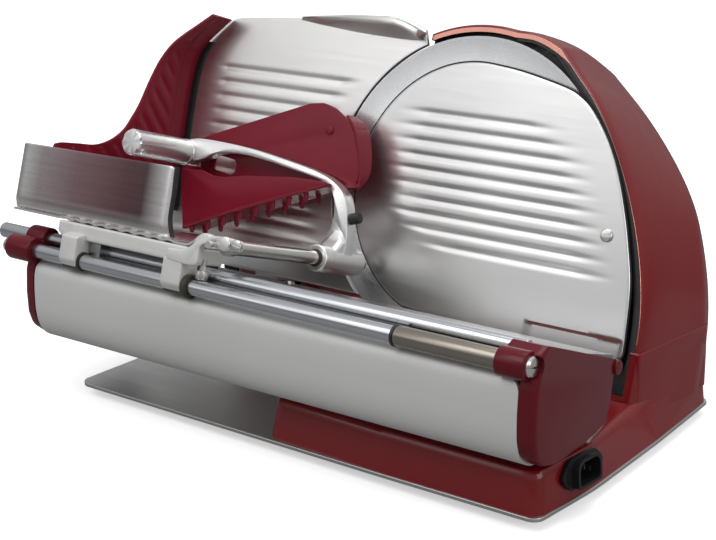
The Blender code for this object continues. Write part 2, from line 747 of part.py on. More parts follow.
def gauge_loop():
    a1 = math.degrees(math.asin(GAUGE_BOTTOM / GAUGE_R))
    edge = arc(0, 0, GAUGE_R, 117.0, 180.0 - a1, 34)
    low = rounded([(edge[-1][0], GAUGE_BOTTOM, 0), (GAUGE_LEFT, GAUGE_BOTTOM, 14), (GAUGE_LEFT, 60.0, 0)], 5)
    x = GAUGE_LEFT
    top = GAUGE_R + 6.0
    crown = smooth_line([(x, 60.0), (x + 0.2, 72.0), (x + 2.6, 83.0), (x + 11.0, 95.0), (x + 27.5, top - 22.7),
                         (x + 39.5, top - 15.2), (x + 61.5, top - 12.4), (-191.6, top - 8.8), (-150.0, top - 4.6),
                         (-114.0, top - 0.4), (-97.0, top), (-76.0, top - 2.6), (-0.4874 * GAUGE_R, top - 8.2)], 3)
    return edge + low[1:-1] + crown


def gauge_ribs(x, n):
    right = -math.sqrt(max(GAUGE_R ** 2 - n * n, 0.0)) - 6.0
    left = GAUGE_LEFT + 14.0
    return rib_depth(x, n, GAUGE_RIB_FIRST, GAUGE_RIB_PITCH, GAUGE_RIB_COUNT, left, right, 16.0)


def build_gauge(metal, grey):
    x = GAUGE_LEFT
    xs = [x - 4.5, x + 13.5, x + 22.5, x + 30.5, x + 61.5, -200, -165, -150, -138, -126, -112, -98, -84, -50]
    ns = [-102.0, -88.0, -72.0]
    low = GAUGE_RIB_FIRST - GAUGE_RIB_PITCH * (GAUGE_RIB_COUNT - 0.5)
    ns += [low + GAUGE_RIB_PITCH * k / 4.0 for k in range(GAUGE_RIB_COUNT * 4 + 1)]
    top = GAUGE_R + 6.0
    ns += [96.0, 115.0, top + 3.8]
    slab = grid_slab("gauge_plate", xs, ns, lambda x, n: GAUGE_T + 1.0 * gauge_ribs(x, n),
                     lambda x: GAUGE_T + GAUGE_THICK, metal)
    mould = prism("gauge_mould", gauge_loop(), -6.0, 10.0, on_xn, None)
    mod = slab.modifiers.new("outline", 'BOOLEAN')
    mod.operation = 'INTERSECT'
    mod.solver = 'EXACT'
    mod.object = cutter(mould)
    rows = [(-186.0, ((2.5, -10.6), (0.7, -10.2), (0.7, -9.2), (2.5, -8.8))),
            (-150.0, ((2.5, -13.2), (-5.5, -8.8), (-5.8, -5.2), (2.5, -5.0))),
            (-114.0, ((2.5, -15.8), (-10.5, -8.2), (-11.0, -2.2), (2.5, -0.8))),
            (-88.0, ((2.5, -17.2), (-14.0, -8.4), (-14.5, -2.2), (2.5, -1.4))),
            (-68.0, ((2.5, -17.6), (-15.5, -11.4), (-16.0, -5.8), (2.5, -6.0))),
            (-61.0, ((2.5, -17.8), (-14.5, -16.2), (-15.0, -11.2), (2.5, -9.8)))]
    lip = loft("gauge_lip", [[lean(x, t, top + n) for t, n in sec] for x, sec in rows], None)
    combine(slab, lip, 'UNION')
    back = GAUGE_T + GAUGE_THICK + 0.02
    right = -GAUGE_R - 12.8
    n = GUIDE_N
    spine = rounded([(-230, -60, 6), (GUIDE_X - 18, -60, 4), (GUIDE_X - 18, n - 6, 0), (GUIDE_X + 18, n - 6, 0),
                     (GUIDE_X + 18, -60, 4), (right, -60, 6), (right, 20, 10), (right - 36, 60, 10), (-230, 60, 10)])
    carrier = prism("gauge_carrier", spine, back, back + 6.0, on_xn, grey)
    arm = prism("gauge_carrier_arm", [(back + 3.0, n - 11.0), (75.5, n - 11.0), (75.5, n + 10.0), (16.0, n + 10.0),
                                      (back + 3.0, n + 36.0)], GUIDE_X - 12.0, GUIDE_X + 12.0, on_tn, None)
    combine(carrier, arm, 'UNION')
    hole = disc(GUIDE_R + 0.05, GUIDE_T0 - CAM_LIFT - 1.0, 90.0)
    bore = revolve("gauge_carrier_bore", hole, about_t(GUIDE_X, GUIDE_N), None, 24)
    combine(carrier, bore, 'DIFFERENCE')
    t, n = knob_axis()
    peg = revolve("gauge_carrier_peg", disc(3.0, CAM_X[0] + 0.5, GUIDE_X - 11.0), about_x(t + CAM_R0 + 3.4, n), None, 16)
    combine(carrier, peg, 'UNION')


def knob_axis():
    t = KNOB_Y * COS_T - KNOB_Z * SIN_T
    n = KNOB_Y * SIN_T + KNOB_Z * COS_T
    return t, n


def build_gauge_guide(steel, grey):
    t0, t1 = 91.5, 98.5
    revolve("gauge_rod", disc(GUIDE_R, GUIDE_T0, t1, 0.8), about_t(GUIDE_X, GUIDE_N), steel, 24)
    floor = PLATE_TOP + 0.02
    x0, x1 = GUIDE_X - 12.0, GUIDE_X + 12.0
    ends = []
    for t in (t0, t1):
        low = n_at_height(floor, t)
        foot = n_at_height(floor + 4.0, t)
        loop = [(x0 - 12, low), (x1 + 12, low), (x1 + 12, foot), (x1, foot), (x1, GUIDE_N + 4)]
        loop += arc(GUIDE_X, GUIDE_N, 12.0, 20.0, 160.0, 8) + [(x0, GUIDE_N + 4), (x0, foot), (x0 - 12, foot)]
        ends.append([lean(x, t, n) for x, n in loop])
    bracket = loft("gauge_bracket", ends, grey)
    hole = disc(GUIDE_R + SEAT, t0 - 3.0, t1 + 3.0)
    combine(bracket, revolve("gauge_bracket_hole", hole, about_t(GUIDE_X, GUIDE_N), None, 24), 'DIFFERENCE')


def build_controls(black, steel, green, red_plastic):
    place = about_level_x(KNOB_Y, KNOB_Z)
    x = POD_X
    knob = [(0.0, x - 24.0), (KNOB_R - 5.0, x - 24.0), (KNOB_R - 3.0, x - 22.0), (KNOB_R - 3.0, x - 8.0),
            (KNOB_R, x - 6.0), (KNOB_R, x - 3.4), (KNOB_SHAFT_R + 0.02, x - 3.4), (KNOB_SHAFT_R + 0.02, x - 18.0),
            (0.0, x - 18.0)]
    body = revolve("gauge_knob", knob, place, black, 28)
    for i in range(6):
        a = math.radians(60.0 * i)
        y = KNOB_Y + (KNOB_R + 1.0) * math.cos(a)
        z = KNOB_Z + (KNOB_R + 1.0) * math.sin(a)
        groove = revolve("gauge_knob_flute", disc(5.4, x - 27.0, x - 7.5), about_level_x(y, z), None, 8)
        combine(body, groove, 'DIFFERENCE')
    revolve("knob_shaft", [(0.0, x - 17.9), (KNOB_SHAFT_R, x - 17.9), (KNOB_SHAFT_R, CAM_X[1] + 4.0),
                           (0.0, CAM_X[1] + 4.0)], place, steel, 28)
    loop = []
    for i in range(45):
        a = 335.0 * i / 44.0 - 20.0
        r = CAM_R0 + CAM_LIFT * min(max(a / CAM_TURN, 0.0), 1.0)
        loop.append((r * math.cos(math.radians(-a)), r * math.sin(math.radians(-a))))
    t, n = knob_axis()
    cam = prism("thickness_cam", [(t + u, n + v) for u, v in loop], CAM_X[0], CAM_X[1], on_tn, steel)
    hole = revolve("thickness_cam_hole", disc(KNOB_SHAFT_R + 0.02, CAM_X[0] - 2.0, CAM_X[1] + 2.0), place, None, 28)
    combine(cam, hole, 'DIFFERENCE')
    for name, z, mat in (("start_button", BUTTON_Z[0], green), ("stop_button", BUTTON_Z[1], red_plastic)):
        stem = [(0.0, x - 5.0), (BUTTON_R - 1.0, x - 5.0), (BUTTON_R, x - 4.0), (BUTTON_R, x + 8.0),
                (0.0, x + 8.0)]
        revolve(name, stem, about_level_x(BUTTON_Y, z), mat, 24)
    lo, hi = x + WALL + 0.5 + GAP, x + 15.5
    z0, z1 = BUTTON_Z[1] - 14.0, BUTTON_Z[0] + 12.0
    box = [(BUTTON_Y - 9.5, z0), (BUTTON_Y + 9.5, z0), (BUTTON_Y + 9.5, z1), (BUTTON_Y - 9.5, z1)]
    switch = prism("switch_body", box, lo, hi, on_yz, black)
    for z in BUTTON_Z:
        well = revolve("switch_body_well", disc(BUTTON_R + GAP, x, x + 11.5), about_level_x(BUTTON_Y, z), None, 24)
        combine(switch, well, 'DIFFERENCE')


# Rails under the table

PANEL_X = (-262.5, 184.5)
PANEL_THICK = 2.4
SKIRT_TOP = -56.0


def skirt(y, share):
    """Point of the rail skirt, its height a share of the way from the skirt's top down to the base."""
    return y, SKIRT_TOP + share * (BASE_TOP + GAP - SKIRT_TOP)


def panel_line():
    return smooth_line([skirt(-201.8, -0.068), skirt(-206.4, -0.042), skirt(-210.8, -0.008), skirt(-213.4, 0.06), skirt(-214.5, 0.16), skirt(-215.0, 0.3134), skirt(-214.5, 0.5271),
                        skirt(-211.4, 0.698), skirt(-205.5, 0.812), skirt(-197.0, 0.8775), skirt(-186.0, 0.906)], 3)


def panel_loop(grow, outward=0.0):
    line = panel_line()
    inside = offset_line(line, -PANEL_THICK - grow)
    outside = offset_line(line, max(grow, outward))
    return outside + inside[::-1]


def cap_loop():
    top = [level_from_group(-176.0, -97.0), level_from_group(-61.0, -97.0)]
    low = [(-91.5, 0.4274, 20), (-95, 0.6766, 20), (-101, 0.86, 8), (-116, 0.9, 8), (-138, 0.915, 20),
           (-165, 0.915, 20), (-184, 0.895, 14), (-200, 0.84, 14), (-210.5, 0.72, 14), (-214.6, 0.56, 12),
           (-215.4, 0.3134, 20), (-214.2, 0.057, 10)]
    return rounded([skirt(-210.4, -0.0855) + (0,), (top[0][0] - 14.0, top[0][1] + 2.0, 4), top[0] + (2,),
                    top[1] + (2,)] + [skirt(y, share) + (r,) for y, share, r in low], 2)


def level_from_group(t, n):
    return t * COS_T + n * SIN_T, -t * SIN_T + n * COS_T


def cap_ring(loop, x, bite):
    """Section of an end cap; its outer face tapers towards the back."""
    out = []
    taper = CAP_TAPER if x > CAP_X0 + 10.0 else 0.0
    for y, z in loop:
        f = min(max((-178.0 - y) / 37.0, 0.0), 1.0)
        top = min(max((z + 76.0) / 30.0, 0.0), 1.0)
        out.append(level(x - taper * (y + 215.0), y + bite * f, z - bite * f * top * 0.32))
    return out


def build_caps(plastic):
    loop = cap_loop()
    x0, x1 = CAP_X0, CAP_X1
    rings = [cap_ring(loop, x, g) for x, g in ((x0, 0.0), (x1 - 4.0, 0.0), (x1 - 1.6, 1.0), (x1 - 0.5, 2.6), (x1, 5.0))]
    right = loft("right_cap", rings, plastic)
    finish_cap(right, x0, x1, 168.6, 190.5, 1.0)
    a0, a1 = LEFT_CAP_X0, LEFT_CAP_X1
    rings = [cap_ring(loop, x, g) for x, g in ((a0, 6.0), (a0 + 1.5, 2.8), (a0 + 4.0, 0.8), (a0 + 6.0, 0.0), (a1, 0.0))]
    left = loft("left_cap", rings, plastic)
    finish_cap(left, a0, a1, -297.0, PANEL_X[0] - GAP, -1.0)


def finish_cap(cap, x0, x1, b0, b1, side):
    if side > 0.0:
        cut = prism(cap.name + "_panel_cut", panel_loop(GAP, 8.0), PANEL_X[0] - GAP, PANEL_X[1] + GAP, on_yz, None)
        combine(cap, cut, 'DIFFERENCE')
    boss = revolve(cap.name + "_boss", disc(BOSS_R, b0, b1, 1.0), about_x(BAR_T, BAR_N), None, 24)
    combine(cap, boss, 'UNION')
    if side > 0.0:
        small = revolve(cap.name + "_rear_boss", disc(5.4, x1 - 24.0, x1 - 7.5, 0.8), about_x(-59.0, -102.6), None, 16)
        combine(cap, small, 'UNION')
    if side < 0.0:
        neck = revolve(cap.name + "_rod_boss", disc(ROD_R + 3.4, b0 + 4.0, b1 - 2.0, 1.0), about_x(ROD_T, ROD_N), None, 20)
        combine(cap, neck, 'UNION')
    end = 189.0 if side > 0.0 else -200.0
    start = 100.0 if side > 0.0 else -296.0
    bar = revolve(cap.name + "_bar_bore", disc(BAR_R + 0.02, start, end), about_x(BAR_T, BAR_N), None, 32)
    combine(cap, bar, 'DIFFERENCE')
    if side > 0.0:
        tap = revolve(cap.name + "_tap", disc(4.1, 187.0, 210.0), about_x(BAR_T, BAR_N), None, 20)
        combine(cap, tap, 'DIFFERENCE')
        seat = revolve(cap.name + "_seat", disc(7.7, 190.5, 215.0), about_x(BAR_T, BAR_N), None, 24)
        combine(cap, seat, 'DIFFERENCE')
    end = 180.0 if side > 0.0 else 200.0
    rod = revolve(cap.name + "_rod_bore", disc(ROD_R + 0.02, -330.0, end), about_x(ROD_T, ROD_N), None, 28)
    combine(cap, rod, 'DIFFERENCE', 'MANIFOLD')


def build_rails(satin, chrome, sleeve_mat, steel, black, grey):
    panel = prism("front_panel", panel_loop(0.0), PANEL_X[0], PANEL_X[1], on_yz, satin)
    x, z = PANEL_X[1] - 8.5, SKIRT_TOP - 7.5
    corner = [(CAP_X0 - 1.3, -40.0), (CAP_X0 - 1.3, z + 8.5), (x, z + 8.5)]
    corner += arc(x, z, 8.5, 90.0, 0.0, 8) + [(x + 8.5, -90.0), (x + 25.0, -90.0), (x + 25.0, -40.0)]
    place = lambda u, v, w: level(u, w, v)
    combine(panel, prism("front_panel_corner", corner, -230.0, -180.0, place, None), 'DIFFERENCE')
    ridge = [(-165.4, -96.8), (-165.4, -92.8), (-163.0, -92.2), (-160.0, -92.8), (-158.6, -94.6), (-156.0, -94.8),
             (-154.6, -93.4), (-151.0, -93.0), (-148.0, -93.6), (-146.4, -94.5), (DECK_REAR, DECK_N),
             (DECK_REAR, -96.8)]
    deck = prism("deck_plate", ridge, -262.0, 184.0, on_tn, chrome)
    for i, (x, t) in enumerate(((-129.0, -121.0), (-104.0, -64.0), (60.0, -121.0))):
        hole = revolve("deck_plate_hole", disc(2.05, -99.0, -90.0), deck_place(x, t), None, 16)
        combine(deck, hole, 'DIFFERENCE')
        head = [(0.0, -107.0), (2.0, -107.0), (2.0, DECK_N + 0.02), (4.2, DECK_N + 0.02), (3.4, DECK_N + 1.6),
                (0.0, DECK_N + 2.0)]
        revolve("deck_screw_%d" % (i + 1), head, deck_place(x, t), steel, 16)
    build_beam(grey)
    place = about_x(BAR_T, BAR_N)
    revolve("front_bar", disc(BAR_R, -295.5, 188.5, 0.6), place, chrome, 32)
    revolve("bar_sleeve", ring(BAR_R + 0.02, SLEEVE_R, SLEEVE_X0 + 2.2, 168.3, 0.3), place, sleeve_mat, 32)
    revolve("stop_ring", ring(BAR_R + 0.02, SLEEVE_R + 0.5, SLEEVE_X0 - 0.4, SLEEVE_X0 + 2.0, 0.5), place, black, 32)
    head = [(0.0, 189.0), (4.0, 189.0), (4.0, 190.52), (7.3, 190.52), (7.3, 192.2), (6.2, 193.4), (0.0, 193.6)]
    screw = revolve("bar_screw", head, place, steel, 28)
    slot = prism("bar_screw_slot", [(-200, BAR_N - 0.7), (-178, BAR_N - 0.7), (-178, BAR_N + 0.7), (-200, BAR_N + 0.7)],
                 192.3, 196.0, on_tn, None)
    combine(screw, slot, 'DIFFERENCE')
    revolve("rear_rod", disc(ROD_R, -320.0, 179.0, 1.2), about_x(ROD_T, ROD_N), chrome, 28)


def deck_place(x, t):
    return lambda u, v, h: lean(x + u, t + v, h)


def build_beam(grey):
    """Casting that carries the rails on top of the base."""
    top0 = level_from_group(-160.0, -97.1)
    top1 = level_from_group(-66.0, -97.1)
    base = BASE_TOP + 0.02
    loop = [top0, top1, (top1[0], top1[1] - 8.0), (-113.0, -91.0), (-113.0, base + 5.0), (-104.0, base + 5.0),
            (-104.0, base), (-160.0, base), (-160.0, base + 5.0), (-119.0, base + 5.0), (-119.0, -91.0),
            (top0[0] + 6.0, top0[1] - 14.0), (top0[0], top0[1] - 14.0)]
    beam = prism("rail_beam", loop, -240.0, 150.0, on_yz, grey)
    cut = prism("rail_beam_cut", [(-170, base - 2), (-96, base - 2), (-96, -100), (-170, -100)], -250.0, -38.0,
                on_yz, None)
    combine(beam, cut, 'DIFFERENCE')
    for x, t in ((-129.0, -121.0), (-104.0, -64.0), (60.0, -121.0)):
        hole = revolve("rail_beam_hole", disc(2.05, -109.0, -90.0), deck_place(x, t), None, 16)
        combine(beam, hole, 'DIFFERENCE')


# Table

TRAY_LOOP = ((TABLE_X0, -184.0, 6), (TABLE_X1, -184.0, 5), (TABLE_X1, -5.0, 4), (TABLE_X0, -5.0, 4))
TRAY_THICK = 1.8


def tray_floor_n(x):
    """Floor height: ribs along T and a curl at the right end."""
    wave = 0.9 * (1.0 + math.cos(2.0 * math.pi * (x + 243.0) / 14.0)) if -250.0 < x < -124.0 else 0.0
    curl = 0.0
    if x > -114.0:
        curl = 9.0 * ((x + 114.0) / 12.0) ** 2
    return FLOOR_N + wave * 0.6 + curl


def build_tray(metal, gasket):
    xs = [-300.0, -290.0, -278.0, -264.0, -250.0] + [-250.0 + 3.5 * k for k in range(1, 37)] + [-119.0, -114.0, -110.0,
                                                                                      -106.0, -103.0]
    top = [(x, tray_floor_n(x)) for x in xs]
    low = [(x, tray_floor_n(x) - TRAY_THICK) for x in xs]
    tray = prism("table", top + low[::-1], -183.5, -5.5, on_xn, metal)
    low = FLOOR_N - TRAY_THICK - 0.4
    wall = [(-303.5, -21.4, 7), (-303.5, low, 15), (-136.4, low, 2), (-138.2, -19.3, 2)]
    front = soft_prism("table_wall", wall, -184.5, -181.9, on_xn, None, 0.7)
    side = rounded([(-303.5, -21.4, 2), (-303.5, FLOOR_N - TRAY_THICK, 10), (-290.0, FLOOR_N - TRAY_THICK, 0),
                    (-290.0, FLOOR_N - 0.4, 0), (-301.1, FLOOR_N, 9), (-301.1, -21.4, 1)], 4)
    left = prism("table_side", side, -183.0, -5.5, on_xn, None)
    combine(tray, front, 'UNION')
    combine(tray, left, 'UNION')
    seal = [(-137.9, -19.6), (-135.8, -19.4), (-134.2, FLOOR_N + 2.2), (-136.1, FLOOR_N + 2.2)]
    prism("wall_gasket", seal, -185.0, -181.4, on_xn, gasket)
    return tray


def build_carriage(metal, grey, bush_mat, black, steel):
    under = FLOOR_N - TRAY_THICK - 0.42
    t0, t1 = -189.0, -150.0
    block = [(-243.0, under, 0), (-101.5, under, 0), (-101.5, -88.0, 0), (-240.0, -88.0, 0), (-243.0, -85.0, 0)]
    body = soft_prism("carriage_casting", block, t0, t1, on_xn, grey, 0.8)
    for k, (x0, x1) in enumerate((FOOT_1, FOOT_2)):
        leg = rounded([(-198.0, -88.0, 0), (-196.5, -104.0, 6), (-190.0, -110.2, 5), (-180.5, -108.0, 5),
                       (-179.5, -87.0, 0), (-190.0, -84.0, 0)], 4)
        foot = prism("carriage_leg_%d" % k, leg, x0, x1, on_tn, None)
        combine(body, foot, 'UNION')
    slab = [(-232.0, under), (-101.5, under), (-101.5, -82.5), (-232.0, -82.5)]
    rear = prism("carriage_rear", slab, t1 - 1.0, -96.0, on_xn, None)
    combine(body, rear, 'UNION')
    toe = [(-106.3, -87.7), (-106.3, -77.3), (-84.0, -77.3), (-84.0, -85.2), (-86.5, -87.7)]
    combine(body, prism("carriage_toe", toe, LUG_T[0] + 0.6, -180.6, on_xn, None), 'UNION')
    lug = rounded([(-94.0, -84.0, 2), (-89.0, -62.0, 6), (-70.5, -62.0, 7), (-70.5, -79.0, 7), (-84.5, -85.0, 2)], 3)
    combine(body, prism("carriage_lug", lug, LUG_T[0], LUG_T[1], on_xn, None), 'UNION')
    bore = revolve("carriage_bore", disc(BUSH_R + 0.02 - 1.0, -260.0, -90.0), about_x(BAR_T, BAR_N), None, 32)
    combine(body, bore, 'DIFFERENCE', 'MANIFOLD')
    stud = revolve("carriage_stud_bore", disc(STUD_R + 0.02, -205.0, -178.0), about_t(SHAFT_X, SHAFT_N), None, 28)
    combine(body, stud, 'DIFFERENCE', 'MANIFOLD')
    for i, (x0, x1) in enumerate((FOOT_1, FOOT_2)):
        profile = ring(BAR_R + 0.04, BUSH_R - 1.0, x0 + 0.5, x1 - 0.5)
        if i == 1:
            profile = [(BAR_R + 0.04, x0 + 0.5), (BUSH_R - 1.0, x0 + 0.5), (BUSH_R - 1.0, x1 + 0.1),
                       (BUSH_R + 0.4, x1 + 0.1), (BUSH_R + 0.4, x1 + 4.4), (BAR_R + 0.04, x1 + 4.4)]
        revolve("bar_bush_%d" % (i + 1), profile, about_x(BAR_T, BAR_N), bush_mat, 32)
    shoe = [(-232.0, DECK_N + GAP), (-150.0, DECK_N + GAP), (-150.0, -82.8), (-232.0, -82.8)]
    prism("slide_shoe", shoe, -113.0, -99.0, on_xn, black)
    knurl = [(0.0, -97.6), (4.7, -97.6), (4.7, -91.0), (2.2, -90.6), (2.2, -82.0), (0.0, -82.0)]
    revolve("thumb_screw", knurl, deck_place(*THUMB), steel, 20)
    bore = revolve("carriage_thumb_bore", disc(2.23, -95.0, -81.5), deck_place(*THUMB), None, 20)
    combine(body, bore, 'DIFFERENCE')


def build_shaft(steel):
    place = about_t(SHAFT_X, SHAFT_N)
    profile = [(0.0, LUG_T[0] - 1.0), (STUD_R, LUG_T[0] - 1.0), (STUD_R, -180.0), (SHAFT_R + 1.1, -180.0),
               (SHAFT_R + 1.1, -171.8), (SHAFT_R, -171.8), (SHAFT_R, -9.2), (SHAFT_R - 0.7, -8.5), (0.0, -8.5)]
    revolve("pusher_shaft", profile, place, steel, 28)


def build_guard(plastic):
    line = smooth_line([(-298.4, -58.0), (-298.5, -20.0), (-299.4, 10.0), (-300.2, 40.0), (-300.0, 60.0),
                        (-298.8, 74.0), (-295.2, 86.0), (-287.0, 97.0), (-274.0, 109.6), (-266.0, 116.6)], 3)
    near = [(-62.0, -160.0), (-24.0, -156.0), (-17.0, -151.0), (-14.6, -130.0), (-12.7, -108.0), (-6.0, -91.0),
            (4.0, -78.0), (16.0, -70.0), (29.0, -63.0), (48.0, -56.0), (66.0, -49.0), (84.0, -40.5), (104.0, -31.0),
            (120.0, -26.0)]
    side = offset_line(line, -2.2)
    loop = line + side[::-1]
    sheet = prism("hand_guard", loop, -176.0, -1.2, on_xn, plastic)
    shape = [(-200.0, 130.0), (-26.0, 130.0)] + [(t, n) for n, t in near[::-1]] + [(-200.0, -62.0)]
    combine(sheet, prism("hand_guard_cut", shape, -320.0, -240.0, on_tn, None), 'DIFFERENCE')
    return sheet


# Last-slice holder

SLOPE_A = (-234.5, -70.0)
SPIKE_LOW = FLOOR_N + 1.7
SLOPE_B = (-76.0, -16.6)


def slope_n(x):
    s = (x - SLOPE_A[0]) / (SLOPE_B[0] - SLOPE_A[0])
    return SLOPE_A[1] + (SLOPE_B[1] - SLOPE_A[1]) * s


def build_pusher(plastic, alu, steel, rubber):
    place = about_t(SHAFT_X, SHAFT_N)
    inner = SHAFT_R + SLEEVE_WALL
    revolve("pusher_bush", ring(SHAFT_R + 0.04, inner, HUB_T0 - 1.0, HUB_T1 + 1.0), place, steel, 28)
    outline = [(-250, 5.5, 5), (-240, 8.2, 30), (-201, 7.9, 80), (-159, 4.3, 80), (-127, 0.4, 60), (-104, -4.8, 40),
               (-86, -14.2, 18), (-76.4, -27.6, 20), (-71.5, -46, 40), (-67.0, -68, 4), (-92, -70, 4), (-101, -62.5, 3),
               (-91.0, -50, 14), (-86.6, -34, 16), (-88.4, -22, 10), (-97.1, -12.6, 14), (-110, -8.4, 30),
               (-137, -4.0, 60), (-168, -1.4, 60), (-200, 0.8, 30), (-222, -2.5, 20), (-250, -10.5, 5)]
    arm = soft_prism("pusher_arm", outline, ARM_T0, ARM_T1, on_xn, alu, 2.0, 2)
    web = [(-72, -42, 0), (-69.5, -62, 0), (-72, -70, 0), (-88, -70, 0), (-102, -62.5, 0), (-93, -47, 0)]
    web_obj = soft_prism("pusher_arm_web", web, -57.0, HUB_T1 + 0.5, on_xn, None, 1.6)
    combine(arm, web_obj, 'UNION')
    hub = revolve("pusher_arm_hub", disc(11.0, HUB_T0, HUB_T1, 1.2), place, None, 28)
    combine(arm, hub, 'UNION')
    collar = revolve("pusher_arm_collar", disc(GRIP_R + 0.7, -49.0, -35.0, 1.5), about_t(GRIP_X, GRIP_N), None, 28)
    combine(arm, collar, 'UNION')
    bore = revolve("pusher_arm_bore", disc(inner + TURN_GAP, HUB_T0 - 3.0, HUB_T1 + 3.0), place, None, 28)
    combine(arm, bore, 'DIFFERENCE')
    grip = revolve("pusher_grip", disc(GRIP_R, -114.0, -49.3, 1.2), about_t(GRIP_X, GRIP_N), alu, 32)
    for i in range(7):
        a = math.radians(360.0 * i / 7 + 12.0)
        u = (GRIP_R + 1.6) * math.cos(a)
        v = (GRIP_R + 1.6) * math.sin(a)
        flute = revolve("pusher_grip_flute", disc(3.2, -117.0, -58.0), about_t(GRIP_X + u, GRIP_N + v), None, 12)
        combine(grip, flute, 'DIFFERENCE')
    revolve("pusher_bumper", disc(4.6, -6.0, 11.0, 0.8), bumper_place, rubber, 20)
    combine(arm, revolve("pusher_arm_socket", disc(4.64, -6.4, 20.0), bumper_place, None, 20), 'DIFFERENCE',
            'MANIFOLD')
    build_plate(plastic)
    red_head = [(0.0, -30.6), (3.0, -30.6), (3.6, -30.0), (3.6, -29.42), (1.5, -29.42), (1.5, -25.0), (0.0, -25.0)]
    revolve("plate_screw", red_head, about_t(-117.0, 32.0), plastic, 16)


def bumper_place(u, v, h):
    """Short rubber stop on the right of the arm, tipped slightly up."""
    lean_a = math.radians(17.0)
    x = -75.0 + h * math.cos(lean_a) - u * math.sin(lean_a)
    n = -36.6 + h * math.sin(lean_a) + u * math.cos(lean_a)
    return lean(x, -40.0 + v, n)


def build_plate(plastic):
    front = [(-234.5, -70.0), (-76.0, -16.6), (-82.0, -12.8), (-141, -12.3), (-179, -17), (-209, -22), (-226, -18.4),
             (-248, -16.5)]
    plate = prism("pusher_plate", front, -54.0, -51.6, on_xn, plastic)
    wing = rounded([(-234.5, -70.0, 0), (-76.0, -16.6, 0), (-77.5, -7.5, 4), (-81.8, 1.5, 20), (-90.2, 27, 20),
                    (-100, 44.0, 16), (-118, 50.0, 20), (-132.5, 53.6, 12), (-145, 51.8, 20), (-199, 31.8, 200),
                    (-254, 10.2, 4)], 3)
    rear = prism("pusher_plate_wing", wing, -29.4, -27.0, on_xn, None)
    combine(plate, rear, 'UNION')
    floor = [(-234.45, -69.95), (-76.3, -16.67), (-77.2, -14.1), (-230.0, -65.7), (-243.4, -14.0), (-246.9, -15.5)]
    base = prism("pusher_plate_floor", floor, -52.9, -28.1, on_xn, None)
    combine(plate, base, 'UNION')
    edge = offset_line([(-76.0, -16.6), (-77.3, -7.5), (-82.0, 3.0), (-90.2, 27), (-96.0, 38.5)], 0.0)
    inner = offset_line(edge, -2.2)
    flange = prism("pusher_plate_flange", edge + inner[::-1], -28.5, -8.0, on_xn, None)
    combine(plate, flange, 'UNION')
    spikes = spike_rows()
    combine(plate, spikes, 'UNION', 'MANIFOLD')
    slot = [(-97.5, -40.0), (-60.0, -40.0), (-60.0, 4.0), (-97.5, -8.0)]
    combine(plate, prism("pusher_plate_slot", slot, ARM_T0 - 0.6, ARM_T1 + 0.6, on_xn, None), 'DIFFERENCE')
    hole = rounded([(-233.5, -2.5, 5), (-207.6, -5.2, 5), (-209.4, -18.3, 5), (-233.0, -15.6, 5)], 3)
    combine(plate, prism("pusher_plate_hole", hole, -33.0, -20.0, on_xn, None), 'DIFFERENCE', 'MANIFOLD')
    tap = revolve("pusher_plate_tap", disc(1.6, -33.0, -20.0), about_t(-117.0, 32.0), None, 16)
    combine(plate, tap, 'DIFFERENCE')
    grip = revolve("pusher_plate_relief", disc(GRIP_R + 1.2, -60.0, -31.0), about_t(GRIP_X, GRIP_N), None, 28)
    combine(plate, grip, 'DIFFERENCE')


def spike_rows():
    verts = []
    faces = []
    sides = 6
    for t in (-48.7, -31.4):
        for i in range(9):
            x = -228.0 + 16.0 * i
            top = slope_n(x) + 1.4
            reach = min(8.8, top - SPIKE_LOW)
            first = len(verts)
            for r, drop in ((2.0, 0.0), (1.6, 0.75 * reach), (0.7, reach)):
                for k in range(sides):
                    a = 2.0 * math.pi * k / sides + 0.23
                    verts.append(lean(x + 0.2 * drop + r * math.cos(a), t + r * math.sin(a), top - drop))
            for k in range(sides):
                m = (k + 1) % sides
                for q in (0, sides):
                    faces.append((first + q + k, first + q + m, first + q + sides + m, first + q + sides + k))
            faces.append(tuple(first + k for k in range(sides)))
            faces.append(tuple(first + 2 * sides + k for k in range(sides)))
    return add_mesh("pusher_spikes", verts, faces, None)


# Axes of the moving pieces


def hang(name, point, names, parent=None):
    """Empty on a joint's axis that carries the pieces moving about it."""
    axis = bpy.data.objects.new(name, None)
    bpy.context.scene.collection.objects.link(axis)
    axis.location = point
    if parent is not None:
        axis.location = point - parent["point"]
        axis.parent = parent["axis"]
    for piece in names:
        obj = bpy.data.objects[piece]
        obj.parent = axis
        obj.matrix_parent_inverse = Matrix.Translation(-point)
    return {"axis": axis, "point": point}


